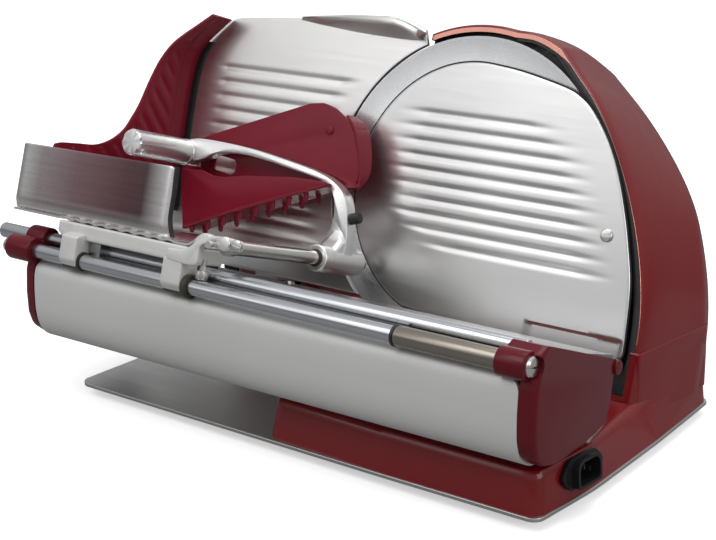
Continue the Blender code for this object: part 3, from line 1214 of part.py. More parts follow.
def hang_pieces():
    hang("axis_blade", lean(0, 0, 0), ("blade", "blade_spindle"))
    hang("axis_motor", lean(MOTOR_X, 0, MOTOR_N), ("motor_pulley",))
    bar = hang("axis_bar", lean(0, BAR_T, BAR_N), ("table", "wall_gasket", "carriage_casting", "bar_bush_1",
                                                   "bar_bush_2", "slide_shoe", "pusher_shaft", "hand_guard"))
    hang("axis_thumb_screw", lean(THUMB[0], THUMB[1], -98.4), ("thumb_screw",), bar)
    glide = hang("axis_glide", lean(SHAFT_X, HUB_T0, SHAFT_N), ("pusher_bush",), bar)
    hang("axis_lift", lean(SHAFT_X, HUB_T1, SHAFT_N), ("pusher_arm", "pusher_grip", "pusher_bumper", "pusher_plate",
                                                      "plate_screw"), glide)
    hang("axis_gauge", lean(GUIDE_X, 0, GUIDE_N), ("gauge_plate", "gauge_carrier"))
    hang("axis_knob", level(POD_X, KNOB_Y, KNOB_Z), ("gauge_knob", "knob_shaft", "thickness_cam"))
    hang("axis_start", level(POD_X, BUTTON_Y, BUTTON_Z[0]), ("start_button",))
    hang("axis_stop", level(POD_X, BUTTON_Y, BUTTON_Z[1]), ("stop_button",))


def main():
    clear_scene()
    red = material("red_enamel", (0.19, 0.012, 0.012), 0.35, 0.25)
    alu = material("brushed_aluminium", (0.62, 0.62, 0.61), 1.0, 0.32)
    steel = material("turned_steel", (0.52, 0.52, 0.52), 1.0, 0.3)
    blade = material("blade_steel", (0.62, 0.64, 0.65), 1.0, 0.18)
    black = material("black_plastic", (0.015, 0.015, 0.016), 0.0, 0.35)
    rubber = material("rubber", (0.02, 0.02, 0.02), 0.0, 0.7)
    grey = material("grey_casting", (0.5, 0.5, 0.49), 0.4, 0.4)
    plastic = material("burgundy_plastic", (0.13, 0.008, 0.018), 0.0, 0.25)
    satin = material("satin_aluminium", (0.6, 0.6, 0.59), 0.8, 0.5)
    chrome = material("chromed_steel", (0.6, 0.61, 0.63), 1.0, 0.12)
    polished = material("polished_aluminium", (0.7, 0.7, 0.7), 1.0, 0.22)
    sleeve = material("bronze_sleeve", (0.4, 0.33, 0.25), 1.0, 0.3)
    bronze = material("bush_bronze", (0.18, 0.16, 0.12), 0.6, 0.45)
    green = material("green_plastic", (0.01, 0.2, 0.04), 0.0, 0.35)
    build_housing(red)
    build_inlet(black)
    build_base(alu, rubber)
    build_blade(blade, black, rubber, steel)
    build_cover(alu, steel)
    build_seal(rubber)
    build_gauge(alu, grey)
    build_gauge_guide(steel, grey)
    build_controls(black, steel, green, plastic)
    build_caps(plastic)
    build_rails(satin, chrome, sleeve, steel, black, grey)
    build_tray(alu, black)
    build_carriage(alu, grey, bronze, black, steel)
    build_shaft(steel)
    build_guard(plastic)
    build_pusher(plastic, polished, steel, rubber)
    hang_pieces()


main()
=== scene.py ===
import json
import math

import bmesh
import bpy
import numpy as np
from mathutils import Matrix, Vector


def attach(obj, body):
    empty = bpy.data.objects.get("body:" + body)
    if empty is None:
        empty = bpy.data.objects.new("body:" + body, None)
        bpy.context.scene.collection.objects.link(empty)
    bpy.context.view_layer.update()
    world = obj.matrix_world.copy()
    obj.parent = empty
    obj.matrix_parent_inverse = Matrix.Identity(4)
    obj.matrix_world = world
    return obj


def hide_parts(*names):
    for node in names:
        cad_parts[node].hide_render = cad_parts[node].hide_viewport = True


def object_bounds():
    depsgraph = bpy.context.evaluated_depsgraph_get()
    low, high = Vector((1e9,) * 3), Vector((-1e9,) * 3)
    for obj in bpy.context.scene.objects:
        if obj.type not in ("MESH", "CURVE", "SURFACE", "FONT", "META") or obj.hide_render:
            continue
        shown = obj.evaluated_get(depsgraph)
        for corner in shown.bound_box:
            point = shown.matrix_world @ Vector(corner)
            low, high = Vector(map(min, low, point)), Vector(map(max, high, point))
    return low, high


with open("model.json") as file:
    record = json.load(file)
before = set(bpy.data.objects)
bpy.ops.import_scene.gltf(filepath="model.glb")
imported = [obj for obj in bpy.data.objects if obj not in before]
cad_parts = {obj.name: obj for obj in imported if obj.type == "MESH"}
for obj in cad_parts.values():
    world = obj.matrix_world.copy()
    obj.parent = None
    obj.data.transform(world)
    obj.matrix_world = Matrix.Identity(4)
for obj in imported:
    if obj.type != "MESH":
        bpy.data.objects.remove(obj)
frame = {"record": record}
CAD_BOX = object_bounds()

# Sizes in millimetres, as in the solid model: X along the rails, T square through the blade,
# N up in the blade plane, all from the blade centre.
MM = 0.001
TILT = math.radians(17.1)
SIN_T = math.sin(TILT)
COS_T = math.cos(TILT)
SHIFT_X = 59.75
SHIFT_Y = 42.6

# Gaps beside a moving piece, at a resting one and round a shaft
GAP = 0.3
SEAT = 0.02
TURN_GAP = 0.06

# Meshes: degrees of a sharp edge, distances in metres at which points merge, steps of an arc
SHARP = 32.0
WELD_M = 0.000002
TOUCH_M = 0.000001
TINY_M = 0.0000005
FINE = 3
MOST_STEPS = 240

# Blade and drive
BLADE_R = 125.0
BLADE_BORE_R = 10.0
BLADE_DISH = 3.2
SPINDLE_R = 8.0
HUB_R = 30.0
PULLEY_R = 40.0
MOTOR_PULLEY_R = 12.0
MOTOR_X = 112.0
MOTOR_N = -84.0
MOTOR_R = 38.0
BELT_T0 = 12.0
BELT_T1 = 24.0
BELT_THICK = 2.4

# Level parts: heights below the blade centre
BASE_CLEAR = 7.0259
BASE_HEIGHT = 30.5
PLATE_THICK = 3.0
FOOT_HEIGHT = 8.0
FOOT_R = 13.0
FOOT_SPOTS = ((-216.0, -155.0), (158.0, -155.0), (158.0, 56.0), (-216.0, 56.0))
BASE_TOP = -BLADE_R * COS_T - BASE_CLEAR
PLATE_TOP = BASE_TOP - BASE_HEIGHT
PLATE_BOTTOM = PLATE_TOP - PLATE_THICK
FLOOR_DROP = FOOT_HEIGHT - PLATE_BOTTOM

# Cover and gauge plate
BARE_RING = 21.2
COVER_R = BLADE_R - BARE_RING
COVER_THICK = 2.2
COVER_SCREW = (1.069 * BLADE_R, -0.1056 * BLADE_R)
RIB_PITCH = 11.5
RIB_FIRST = 59.3
RIB_COUNT = 10
GAUGE_T = 1.0
GAUGE_THICK = 3.2
EDGE_GAP = 2.2
GAUGE_R = BLADE_R + EDGE_GAP
GAUGE_LEFT = -301.5
GAUGE_BOTTOM = -96.0
GAUGE_RIB_PITCH = 12.5
GAUGE_RIB_FIRST = 75.0
GAUGE_RIB_COUNT = 12

# Casting
WALL = 4.5
SHELL_DEPTH = 104.0
RIM_BAND = 6.0
SEAL_THICK = 2.2
SEAL_SEAT = 0.4
SEAL_GAP = 0.9
RIM_R = BLADE_R + SEAL_GAP + SEAL_THICK + SEAL_SEAT + RIM_BAND

# Rails
BAR_T = -188.0
BAR_N = -104.0
BAR_R = 6.05
ROD_T = -172.0
ROD_N = -94.5
ROD_R = 6.2
SLEEVE_R = 7.2
SLEEVE_X0 = 85.8
CAP_X0 = 169.5
CAP_X1 = 197.0
CAP_TAPER = 0.075
LEFT_CAP_X0 = -276.0
LEFT_CAP_X1 = -263.5
BOSS_R = 10.2
DECK_N = -94.5
DECK_REAR = -60.0
DECK_SCREWS = ((-129.0, -121.0), (-104.0, -64.0), (60.0, -121.0))

# Table and carriage
FLOOR_N = -73.6
FOOT_1 = (-228.0, -211.0)
FOOT_2 = (-121.0, -102.0)
BUSH_R = 8.7
THUMB = (-92.2, -185.6)
LUG_T = (-199.0, -188.0)
STUD_R = 3.0

# Last-slice holder
SHAFT_X = -79.0
SHAFT_N = -70.3
SHAFT_R = 5.5
SLEEVE_WALL = 1.5
HUB_T0 = -70.0
HUB_T1 = -16.0
ARM_T0 = -46.0
ARM_T1 = -34.0
GRIP_X = -252.5
GRIP_N = -5.6
GRIP_R = 10.9

# Controls on the left side
POD_X = -238.0
POD_TOP = BASE_TOP + 54.5
KNOB_Y = 28.0
KNOB_Z = BASE_TOP + 18.5
KNOB_R = 22.0
KNOB_SHAFT_R = 4.0
BUTTON_Y = 63.0
BUTTON_Z = (BASE_TOP + 30.5, BASE_TOP + 2.5)
BUTTON_R = 8.0
CAM_X = (-222.0, -216.0)
CAM_R0 = 8.0
CAM_LIFT = 15.0
CAM_TURN = 300.0
GUIDE_X = -185.0
GUIDE_N = KNOB_Z * COS_T + KNOB_Y * SIN_T + 6.64
GUIDE_R = 6.0
GUIDE_T0 = 28.0

# Outlines and places that several pieces share; a corner is (x, y, radius)
BASE_CORNERS = ((-50, -186, 14), (60, -191.0, 200), (188.0, -191.8, 11), (192.2, -121, 90), (188.6, -18, 200),
                (182.0, 83, 12), (-243, 83, 14), (-244, -20, 12), (-62, -20, 18), (-53, -70, 30))
CREST_CORNERS = ((-48, -180, 14), (60, -186.0, 200), (185.5, -188.5, 14), (189.2, -122, 60),
                 (176.5, -45, 120), (182.5, 78, 14), (-236, 79, 14), (-237, -16, 12), (-58, -16, 18),
                 (-49, -70, 30))
POD_CORNERS = ((POD_X, 0, 9), (-150, 0, 9), (-150, 80, 14), (POD_X, 80, 9))
SHOULDER_CORNERS = ((40, -26, 6), (176.0, -29.0, 2), (180.9, 25, 200), (185.4, 74, 9), (40, 74, 9))
SLOT_X = (GUIDE_X - 21.0, GUIDE_X + 21.0)
BULKHEAD_T = (8.0, 11.0)
COVER_SIDE = ((0.42, 0.7784), (0.6304, 0.7304), (0.7264, 0.6896), (0.816, 0.6248), (0.9232, 0.5048),
              (1.008, 0.3768), (1.0784, 0.236), (1.1472, 0.064), (1.2072, -0.1152), (1.276, -0.3792),
              (1.304, -0.6952))
PANEL_X = (-262.5, 184.5)
PANEL_THICK = 2.4
SKIRT_TOP = -56.0
TRAY_THICK = 1.8
SPIKE_LOW = FLOOR_N + 1.7
INLET_Y = -139.0
INLET_Z = BASE_TOP - 11.5
INLET_YAW = math.radians(3.3)
INLET_PITCH = math.radians(4.5)
INLET_FACE = 190.0

# Rim: shares of its radius at the crown, how far its corner swells, and down the flank
RIM_CROWN = ((0.2974, 0.974), (0.395, 0.9395), (0.5, 0.886))
CROWN_RISE = ((0.0, 0.00525), (0.0, 0.0139), (-0.0098, 0.0263))
RIM_FLANK = ((0.6258, 0.7781), (0.7334, 0.6738), (0.8302, 0.5595), (0.9173, 0.4377), (0.9958, 0.3101),
             (1.0663, 0.1779), (1.129, 0.0418), (1.1837, -0.0977), (1.2293, -0.2404), (1.2645, -0.386),
             (1.2869, -0.5341), (1.2938, -0.684))


def level(x, y, z):
    return Vector(((x + SHIFT_X) * MM, (y + SHIFT_Y) * MM, (z + FLOOR_DROP) * MM))


def lean(x, t, n):
    return level(x, t * COS_T + n * SIN_T, -t * SIN_T + n * COS_T)


def n_at_height(z, t):
    return (z + t * SIN_T) / COS_T


def on_xn(u, v, w):
    return lean(u, w, v)


def on_tn(u, v, w):
    return lean(w, u, v)


def on_xz(u, v, w):
    return level(u, w, v)


def on_yz(u, v, w):
    return level(w, u, v)


def on_xy(u, v, w):
    return level(u, v, w)


# Shader nodes ------------------------------------------------------------------

def add_node(nt, kind, **values):
    """New node with its inputs set; an underscore in a name stands for a space."""
    node = nt.nodes.new("ShaderNode" + kind)
    for key, value in values.items():
        node.inputs[key.replace("_", " ")].default_value = value
    return node


def fill_ramp(node, stops):
    """Sets the stops (position, colour) of a colour ramp."""
    elements = node.color_ramp.elements
    for i, (pos, color) in ((0, stops[0]), (1, stops[-1])):
        elements[i].position = pos
        elements[i].color = (*color, 1.0)
    for pos, color in stops[1:-1]:
        elements.new(pos).color = (*color, 1.0)


# Camera ------------------------------------------------------------------------

def build_camera():
    cam = bpy.data.cameras.new("camera")
    cam.sensor_width = 36.0
    cam.lens = 81.95
    cam.clip_end = 20.0
    obj = bpy.data.objects.new("camera", cam)
    bpy.context.scene.collection.objects.link(obj)
    centre = level(0.0, 0.0, 0.0)
    obj.location = centre + Vector((0.6840, -1.0528, 0.3051))
    obj.rotation_euler = (math.radians(90.0 - 16.39), 0.0, math.radians(36.76))
    bpy.context.scene.camera = obj


def add_area(name, loc, target, size, power, size_y=None):
    lamp = bpy.data.lights.new(name, 'AREA')
    lamp.shape = 'RECTANGLE'
    lamp.size = size
    lamp.size_y = size_y or size
    lamp.energy = power
    obj = bpy.data.objects.new(name, lamp)
    bpy.context.scene.collection.objects.link(obj)
    obj.location = loc
    direction = Vector(target) - Vector(loc)
    obj.rotation_euler = direction.to_track_quat('-Z', 'Y').to_euler()


def build_lights():
    add_area("key", (-0.6, -1.6, 2.2), (0.0, 0.0, 0.1), 1.4, 18.0)
    add_area("front", (-1.3, -2.0, 1.25), (0.0, 0.0, 0.14), 1.1, 3.2, 0.8)
    add_area("side", (2.4, -0.4, 1.1), (0.1, 0.0, 0.12), 1.2, 12.0)
    add_area("top", (0.2, 0.6, 2.4), (0.0, 0.0, 0.1), 1.6, 18.0)
    world = bpy.data.worlds.new("studio")
    bpy.context.scene.world = world
    world.use_nodes = True
    nt = world.node_tree
    nt.nodes.clear()
    out = add_node(nt, "OutputWorld")
    mix = add_node(nt, "MixShader")
    path = add_node(nt, "LightPath")
    room = add_node(nt, "Background", Strength=0.8)
    white = add_node(nt, "Background", Color=(1.0, 1.0, 1.0, 1.0), Strength=1.0)
    coord = add_node(nt, "TexCoord")
    split = add_node(nt, "SeparateXYZ")
    ramp = add_node(nt, "ValToRGB")
    greys = ((0.45, 0.16), (0.54, 0.30), (0.66, 0.62))
    fill_ramp(ramp, [(0.0, (0.10, 0.10, 0.10))] + [(pos, (val, val, val * 1.01)) for pos, val in greys]
              + [(1.0, (0.95, 0.95, 0.96))])
    remap = add_node(nt, "MapRange", From_Min=-1.0, From_Max=1.0)
    nt.links.new(coord.outputs["Generated"], split.inputs[0])
    nt.links.new(split.outputs["Z"], remap.inputs["Value"])
    nt.links.new(remap.outputs["Result"], ramp.inputs["Fac"])
    nt.links.new(ramp.outputs["Color"], room.inputs["Color"])
    nt.links.new(path.outputs["Is Camera Ray"], mix.inputs["Fac"])
    nt.links.new(room.outputs[0], mix.inputs[1])
    nt.links.new(white.outputs[0], mix.inputs[2])
    nt.links.new(mix.outputs[0], out.inputs["Surface"])


# Materials -----------------------------------------------------------------------

class Shade:
    """A node material built step by step from a Principled BSDF."""

    def __init__(self, name, color, metallic, rough, **extra):
        self.mat = bpy.data.materials.new(name)
        self.mat.use_nodes = True
        self.nt = self.mat.node_tree
        self.bsdf = self.nt.nodes["Principled BSDF"]
        self.color = color
        self.rough = rough
        self.bsdf.inputs["Base Color"].default_value = (*color, 1.0)
        self.bsdf.inputs["Metallic"].default_value = metallic
        self.bsdf.inputs["Roughness"].default_value = rough
        for key, value in extra.items():
            self.bsdf.inputs[key.replace("_", " ")].default_value = value
        self.coord = self.nt.nodes.new("ShaderNodeTexCoord").outputs["Object"]
        self.normal = None

    def noise(self, scale, detail=3.0, stretch=(1.0, 1.0, 1.0), rough=0.55, spin=(0.0, 0.0, 0.0)):
        vec = self.coord
        if spin != (0.0, 0.0, 0.0):
            turn = add_node(self.nt, "Mapping", Rotation=spin)
            self.nt.links.new(vec, turn.inputs["Vector"])
            vec = turn.outputs[0]
        mapping = add_node(self.nt, "Mapping", Scale=stretch)
        self.nt.links.new(vec, mapping.inputs["Vector"])
        tex = add_node(self.nt, "TexNoise", Scale=scale, Detail=detail, Roughness=rough)
        self.nt.links.new(mapping.outputs[0], tex.inputs["Vector"])
        return tex.outputs["Fac"]

    def ramp(self, fac, low, high, p0=0.3, p1=0.7):
        node = add_node(self.nt, "ValToRGB")
        fill_ramp(node, ((p0, low), (p1, high)))
        self.nt.links.new(fac, node.inputs["Fac"])
        return node.outputs["Color"]

    def mix_color(self, fac, a, b):
        node = self.nt.nodes.new("ShaderNodeMix")
        node.data_type = 'RGBA'
        for sock, value in ((node.inputs[0], fac), (node.inputs[6], a), (node.inputs[7], b)):
            if isinstance(value, (tuple, list)):
                sock.default_value = (*value, 1.0)
            elif isinstance(value, float):
                sock.default_value = value
            else:
                self.nt.links.new(value, sock)
        return node.outputs[2]

    def vary(self, fac, amount, p0=0.3, p1=0.7):
        low = tuple(max(c * (1.0 - amount), 0.0) for c in self.color)
        high = tuple(min(c * (1.0 + amount), 1.0) for c in self.color)
        self.nt.links.new(self.ramp(fac, low, high, p0, p1), self.bsdf.inputs["Base Color"])

    def roughen(self, fac, amount, p0=0.3, p1=0.7):
        node = add_node(self.nt, "MapRange", From_Min=p0, From_Max=p1, To_Min=max(self.rough - amount, 0.02),
                        To_Max=min(self.rough + amount, 1.0))
        self.nt.links.new(fac, node.inputs["Value"])
        self.nt.links.new(node.outputs[0], self.bsdf.inputs["Roughness"])

    def bump(self, fac, height_mm, strength=1.0):
        node = add_node(self.nt, "Bump", Distance=height_mm * MM, Strength=strength)
        self.nt.links.new(fac, node.inputs["Height"])
        if self.normal is not None:
            self.nt.links.new(self.normal, node.inputs["Normal"])
        self.normal = node.outputs[0]
        self.nt.links.new(self.normal, self.bsdf.inputs["Normal"])

    # Painted highlight: lighter colour on sharp convex edges, found by pointiness, where light catches them.
    def paint_edge_highlight(self, color, amount=0.5, low=0.52, high=0.6):
        geo = add_node(self.nt, "NewGeometry")
        node = add_node(self.nt, "MapRange", From_Min=low, From_Max=high, To_Max=amount)
        self.nt.links.new(geo.outputs["Pointiness"], node.inputs["Value"])
        base = self.bsdf.inputs["Base Color"]
        source = base.links[0].from_socket if base.links else self.color
        self.nt.links.new(self.mix_color(node.outputs[0], source, color), base)


ENAMEL_COAT = {"Coat_Weight": 0.45, "Coat_Roughness": 0.07, "Specular_IOR_Level": 0.25}
LIP_COAT = {"Coat_Weight": 0.3, "Coat_Roughness": 0.08}
LONGWAYS = (0.03, 1.0, 1.0)
GROUP_TURN = (TILT, 0.0, 0.0)


def enamel(name, color, rough, metallic=0.0, coat=ENAMEL_COAT):
    s = Shade(name, color, metallic, rough, **coat)
    s.vary(s.noise(1500.0, 2.0), 0.10, 0.35, 0.68)
    s.roughen(s.noise(60.0, 3.0), 0.04)
    s.bump(s.noise(30.0, 2.0), 0.01, 0.1)
    return s.mat


def plastic(name, color, rough, grain=0.006):
    s = Shade(name, color, 0.0, rough, Specular_IOR_Level=0.2)
    s.vary(s.noise(45.0, 4.0), 0.04)
    s.roughen(s.noise(120.0, 4.0), 0.03)
    s.bump(s.noise(500.0, 2.0), grain * 0.3, 0.2)
    return s.mat


def brushed(name, color, rough, stretch, spin=(0.0, 0.0, 0.0), line=0.0003, amount=0.025, blotch=0.015):
    s = Shade(name, color, 1.0, rough)
    lines = s.noise(300.0, 3.0, stretch, 0.5, spin)
    s.vary(s.noise(22.0, 3.0), blotch)
    s.roughen(lines, amount)
    s.bump(lines, line, 0.35)
    return s.mat


def cast(name, color, rough, metallic=0.35):
    s = Shade(name, color, metallic, rough)
    s.vary(s.noise(70.0, 4.0), 0.04)
    s.roughen(s.noise(240.0, 3.0), 0.06)
    s.bump(s.noise(420.0, 3.0), 0.015, 0.35)
    # Painted highlight on the casting's sharp edges.
    s.paint_edge_highlight(tuple(min(c * 1.2, 1.0) for c in color), 0.3)
    return s.mat


def rubbery(name, color=(0.012, 0.012, 0.012)):
    s = Shade(name, color, 0.0, 0.5)
    s.vary(s.noise(90.0, 4.0), 0.25)
    s.roughen(s.noise(300.0, 3.0), 0.1)
    s.bump(s.noise(900.0, 2.0), 0.02, 0.4)
    return s.mat


def make_materials():
    m = {}
    m["red"] = enamel("red_enamel_look", (0.185, 0.006, 0.008), 0.34)
    m["burgundy"] = plastic("burgundy_look", (0.190, 0.009, 0.022), 0.24)
    m["cap"] = plastic("cap_look", (0.115, 0.006, 0.012), 0.22)
    # Painted highlight: a copper metallic copy of the red enamel for the brightly lit front lip of the rim.
    m["lip"] = enamel("rim_lip_look", (0.60, 0.27, 0.21), 0.3, 0.8, LIP_COAT)
    m["stop"] = plastic("stop_look", (0.35, 0.02, 0.02), 0.3)
    m["cover"] = brushed("cover_look", (0.71, 0.71, 0.705), 0.30, LONGWAYS, GROUP_TURN)
    m["gauge"] = brushed("gauge_look", (0.78, 0.775, 0.765), 0.33, LONGWAYS, GROUP_TURN)
    m["table"] = brushed("table_look", (0.74, 0.74, 0.735), 0.24, LONGWAYS, GROUP_TURN)
    m["blade"] = blade_look()
    m["satin"] = satin_look()
    m["tray_front"] = tray_front_look()
    m["plate"] = brushed("base_plate_look", (0.6, 0.6, 0.59), 0.4, LONGWAYS)
    # Painted shade: the deck under the table, and the slide block, get a dark metal colour for the shade that
    # falls under the table and the shaft.
    m["deck"] = brushed("deck_look", (0.34, 0.34, 0.34), 0.25, LONGWAYS, GROUP_TURN)
    m["chrome"] = brushed("bar_look", (0.50, 0.515, 0.54), 0.24, (0.05, 1.0, 1.0))
    m["sleeve"] = brushed("sleeve_look", (0.27, 0.245, 0.21), 0.3, (1.0, 0.06, 0.06))
    m["steel"] = brushed("steel_look", (0.66, 0.65, 0.63), 0.24, (1.0, 0.2, 0.2))
    m["polish"] = cast("polished_casting_look", (0.78, 0.78, 0.775), 0.33, 0.9)
    m["cast"] = cast("grey_casting_look", (0.66, 0.655, 0.635), 0.42, 0.3)
    m["black"] = plastic("black_plastic_look", (0.014, 0.014, 0.015), 0.32, 0.01)
    m["rubber"] = rubbery("rubber_look")
    m["bush"] = plastic("bush_look", (0.05, 0.05, 0.035), 0.4, 0.01)
    m["green"] = plastic("green_look", (0.01, 0.16, 0.03), 0.3)
    m["motor"] = enamel("motor_look", (0.02, 0.02, 0.02), 0.45)
    m["floor"] = floor_look()
    return m


def floor_look():
    """Pale paper: white to the camera where it is lit, with the shadow kept, and dim to everything else."""
    s = Shade("floor_look", (0.92, 0.92, 0.92), 0.0, 0.9)
    s.roughen(s.noise(30.0, 2.0), 0.03)
    s.bsdf.inputs["Emission Color"].default_value = (1.0, 1.0, 1.0, 1.0)
    s.bsdf.inputs["Emission Strength"].default_value = 0.5
    dim = add_node(s.nt, "BsdfDiffuse", Color=(0.30, 0.30, 0.30, 1.0))
    mix = add_node(s.nt, "MixShader")
    path = add_node(s.nt, "LightPath")
    s.nt.links.new(path.outputs["Is Camera Ray"], mix.inputs["Fac"])
    s.nt.links.new(dim.outputs[0], mix.inputs[1])
    s.nt.links.new(s.bsdf.outputs[0], mix.inputs[2])
    s.nt.links.new(mix.outputs[0], s.nt.nodes["Material Output"].inputs["Surface"])
    return s.mat


def satin_look():
    """Anodised sheet, a little cloudy."""
    s = Shade("satin_look", (0.64, 0.64, 0.63), 0.2, 0.5)
    s.vary(s.noise(9.0, 2.0), 0.03)
    lines = s.noise(300.0, 3.0, (0.02, 1.0, 1.0), 0.5)
    s.roughen(lines, 0.04)
    s.bump(lines, 0.001, 0.3)
    return s.mat


def tray_front_look():
    """Polished sheet; its middle carries a soft dark red painted reflection of the guard, which fades to grey
    towards the bottom.
    """
    s = Shade("tray_front_look", (0.80, 0.80, 0.79), 1.0, 0.27)
    split = add_node(s.nt, "SeparateXYZ")
    s.nt.links.new(s.coord, split.inputs[0])
    left, right = level(-303.5, 0.0, 0.0).x, level(-137.0, 0.0, 0.0).x
    span = add_node(s.nt, "MapRange", From_Min=left, From_Max=right)
    s.nt.links.new(split.outputs["X"], span.inputs["Value"])
    ramp = add_node(s.nt, "ValToRGB")
    # Painted reflection: the middle of the sheet darkens to dark red, standing in for the guard's reflection;
    # the edges stay pale.
    stops = ((0.0, (0.78, 0.77, 0.76)), (0.06, (0.74, 0.73, 0.72)), (0.16, (0.46, 0.40, 0.41)),
             (0.4, (0.30, 0.20, 0.215)), (0.72, (0.16, 0.085, 0.095)), (0.84, (0.12, 0.08, 0.085)),
             (0.93, (0.5, 0.48, 0.48)), (1.0, (0.8, 0.79, 0.78)))
    fill_ramp(ramp, stops)
    s.nt.links.new(span.outputs[0], ramp.inputs["Fac"])
    # Towards the bottom edge the painted reflection gives way to pale grey.
    low = add_node(s.nt, "MapRange", From_Min=lean(0.0, -184.0, FLOOR_N + 14.0).z,
                   From_Max=lean(0.0, -184.0, FLOOR_N + 2.0).z, To_Max=0.8)
    s.nt.links.new(split.outputs["Z"], low.inputs["Value"])
    s.nt.links.new(s.mix_color(low.outputs[0], ramp.outputs["Color"], (0.66, 0.65, 0.64)),
                   s.bsdf.inputs["Base Color"])
    lines = s.noise(300.0, 3.0, LONGWAYS, 0.5, GROUP_TURN)
    s.roughen(lines, 0.04)
    s.bump(lines, 0.001, 0.3)
    return s.mat


def blade_look():
    """Ground steel whose fine lines run round the centre."""
    s = Shade("blade_look", (0.86, 0.87, 0.88), 1.0, 0.30)
    shift = add_node(s.nt, "VectorMath")
    shift.operation = 'DISTANCE'
    shift.inputs[1].default_value = level(0.0, 0.0, 0.0)
    s.nt.links.new(s.coord, shift.inputs[0])
    wave = add_node(s.nt, "TexNoise", Scale=2600.0, Detail=2.0)
    wave.noise_dimensions = '1D'
    s.nt.links.new(shift.outputs["Value"], wave.inputs["W"])
    s.roughen(wave.outputs["Fac"], 0.05)
    s.bump(wave.outputs["Fac"], 0.003, 0.5)
    s.vary(s.noise(40.0, 3.0), 0.04)
    return s.mat


# Mesh tools; a place turns (u, v, w) of a piece into a point of the frame --------

def unit(s):
    return min(max(s, 0.0), 1.0)


def turns(count):
    """Angles of count even steps round a circle."""
    return [2.0 * math.pi * k / count for k in range(count)]


def ease(s):
    """Smooth step from 0 to 1."""
    s = unit(s)
    return s * s * (3.0 - 2.0 * s)


MADE = {}


def mark_sharp(bm, sharp):
    """Smooth shading, with sharp edges where two faces meet at more than sharp degrees."""
    limit = math.radians(sharp)
    for face in bm.faces:
        face.smooth = True
    for edge in bm.edges:
        edge.smooth = not (len(edge.link_faces) == 2 and edge.calc_face_angle(0.0) > limit)


def link_mesh(name, bm, mat, sharp=SHARP):
    bmesh.ops.recalc_face_normals(bm, faces=bm.faces)
    mark_sharp(bm, sharp)
    mesh = bpy.data.meshes.new(name)
    bm.to_mesh(mesh)
    bm.free()
    obj = bpy.data.objects.new(name + "_look", mesh)
    bpy.context.scene.collection.objects.link(obj)
    if mat is not None:
        mesh.materials.append(mat)
    MADE[name] = obj
    return obj


def add_mesh(name, verts, faces, mat=None, sharp=SHARP):
    bm = bmesh.new()
    made = [bm.verts.new(v) for v in verts]
    for face in faces:
        if len(set(face)) > 2:
            bm.faces.new([made[i] for i in face])
    bmesh.ops.remove_doubles(bm, verts=bm.verts, dist=TOUCH_M)
    bmesh.ops.dissolve_degenerate(bm, edges=bm.edges, dist=TINY_M)
    return link_mesh(name, bm, mat, sharp)


def quads(a, b, count):
    """Faces between two closed rings whose first points are a and b."""
    return [(a + i, a + (i + 1) % count, b + (i + 1) % count, b + i) for i in range(count)]


def loft(name, rings, mat=None, sharp=SHARP):
    count = len(rings[0])
    verts = [v for ring_ in rings for v in ring_]
    last = (len(rings) - 1) * count
    faces = []
    for k in range(0, last, count):
        faces += quads(k, k + count, count)
    faces += [tuple(range(count)), tuple(range(last, last + count))]
    return add_mesh(name, verts, faces, mat, sharp)


def band(name, loops, mat=None):
    """Closed band through equal loops, the last one joined to the first."""
    count = len(loops[0])
    verts = [v for loop in loops for v in loop]
    faces = []
    for k in range(len(loops)):
        faces += quads(k * count, (k + 1) % len(loops) * count, count)
    return add_mesh(name, verts, faces, mat)


def prism(name, points, w0, w1, place, mat=None):
    return loft(name, [[place(u, v, w) for u, v in points] for w in (w0, w1)], mat)


def soft_prism(name, corners, w0, w1, place, edge, steps=3, mat=None):
    """Prism whose ends are rounded by edge."""
    rows = []
    for k in range(6):
        a = math.pi / 2 * k / 5
        rows.append((-edge * (1.0 - math.sin(a)), w0 + edge * (1.0 - math.cos(a))))
    rows += [(g, w1 - (w - w0)) for g, w in rows[::-1]]
    rings = [[place(u, v, w) for u, v in grown(corners, g, steps)] for g, w in rows]
    return loft(name, rings, mat)


def revolve(name, profile, place, steps, mat=None, sharp=SHARP):
    """Body turned about an axis; profile points are (radius, height)."""
    steps = min(steps * FINE, MOST_STEPS)
    verts = [place(r * math.cos(a), r * math.sin(a), h) for a in turns(steps) for r, h in profile]
    count = len(profile)
    faces = []
    for i in range(steps):
        k = (i + 1) % steps
        for j in range(count):
            m = (j + 1) % count
            if profile[j][0] == 0.0 and profile[m][0] == 0.0:
                continue
            faces.append((i * count + j, i * count + m, k * count + m, k * count + j))
    bm = bmesh.new()
    made = [bm.verts.new(v) for v in verts]
    for face in faces:
        bm.faces.new([made[i] for i in face])
    bmesh.ops.remove_doubles(bm, verts=bm.verts, dist=WELD_M)
    return link_mesh(name, bm, mat, sharp)


def arc(cx, cy, r, a0, a1, count):
    out = []
    count *= FINE
    for i in range(count + 1):
        a = math.radians(a0 + (a1 - a0) * i / count)
        out.append((cx + r * math.cos(a), cy + r * math.sin(a)))
    return out


def rounded(corners, steps=5):
    """Loop of (x, y, radius) corners, each rounded by a true arc."""
    out = []
    steps = max(steps * 2, 6)
    count = len(corners)
    for i in range(count):
        x, y, r = corners[i]
        p = Vector((x, y))
        a = Vector(corners[i - 1][:2]) - p
        b = Vector(corners[(i + 1) % count][:2]) - p
        if r <= 0.0:
            out.append((x, y))
            continue
        half = a.angle(b) / 2.0
        cut = min(r / math.tan(half), a.length * 0.49, b.length * 0.49)
        p0 = p + a.normalized() * cut
        p1 = p + b.normalized() * cut
        w = math.sin(half)
        for k in range(steps + 1):
            s = k / steps
            wa, wb, wc = (1 - s) ** 2, 2 * s * (1 - s) * w, s ** 2
            q = (p0 * wa + p * wb + p1 * wc) / (wa + wb + wc)
            out.append((q.x, q.y))
    return out


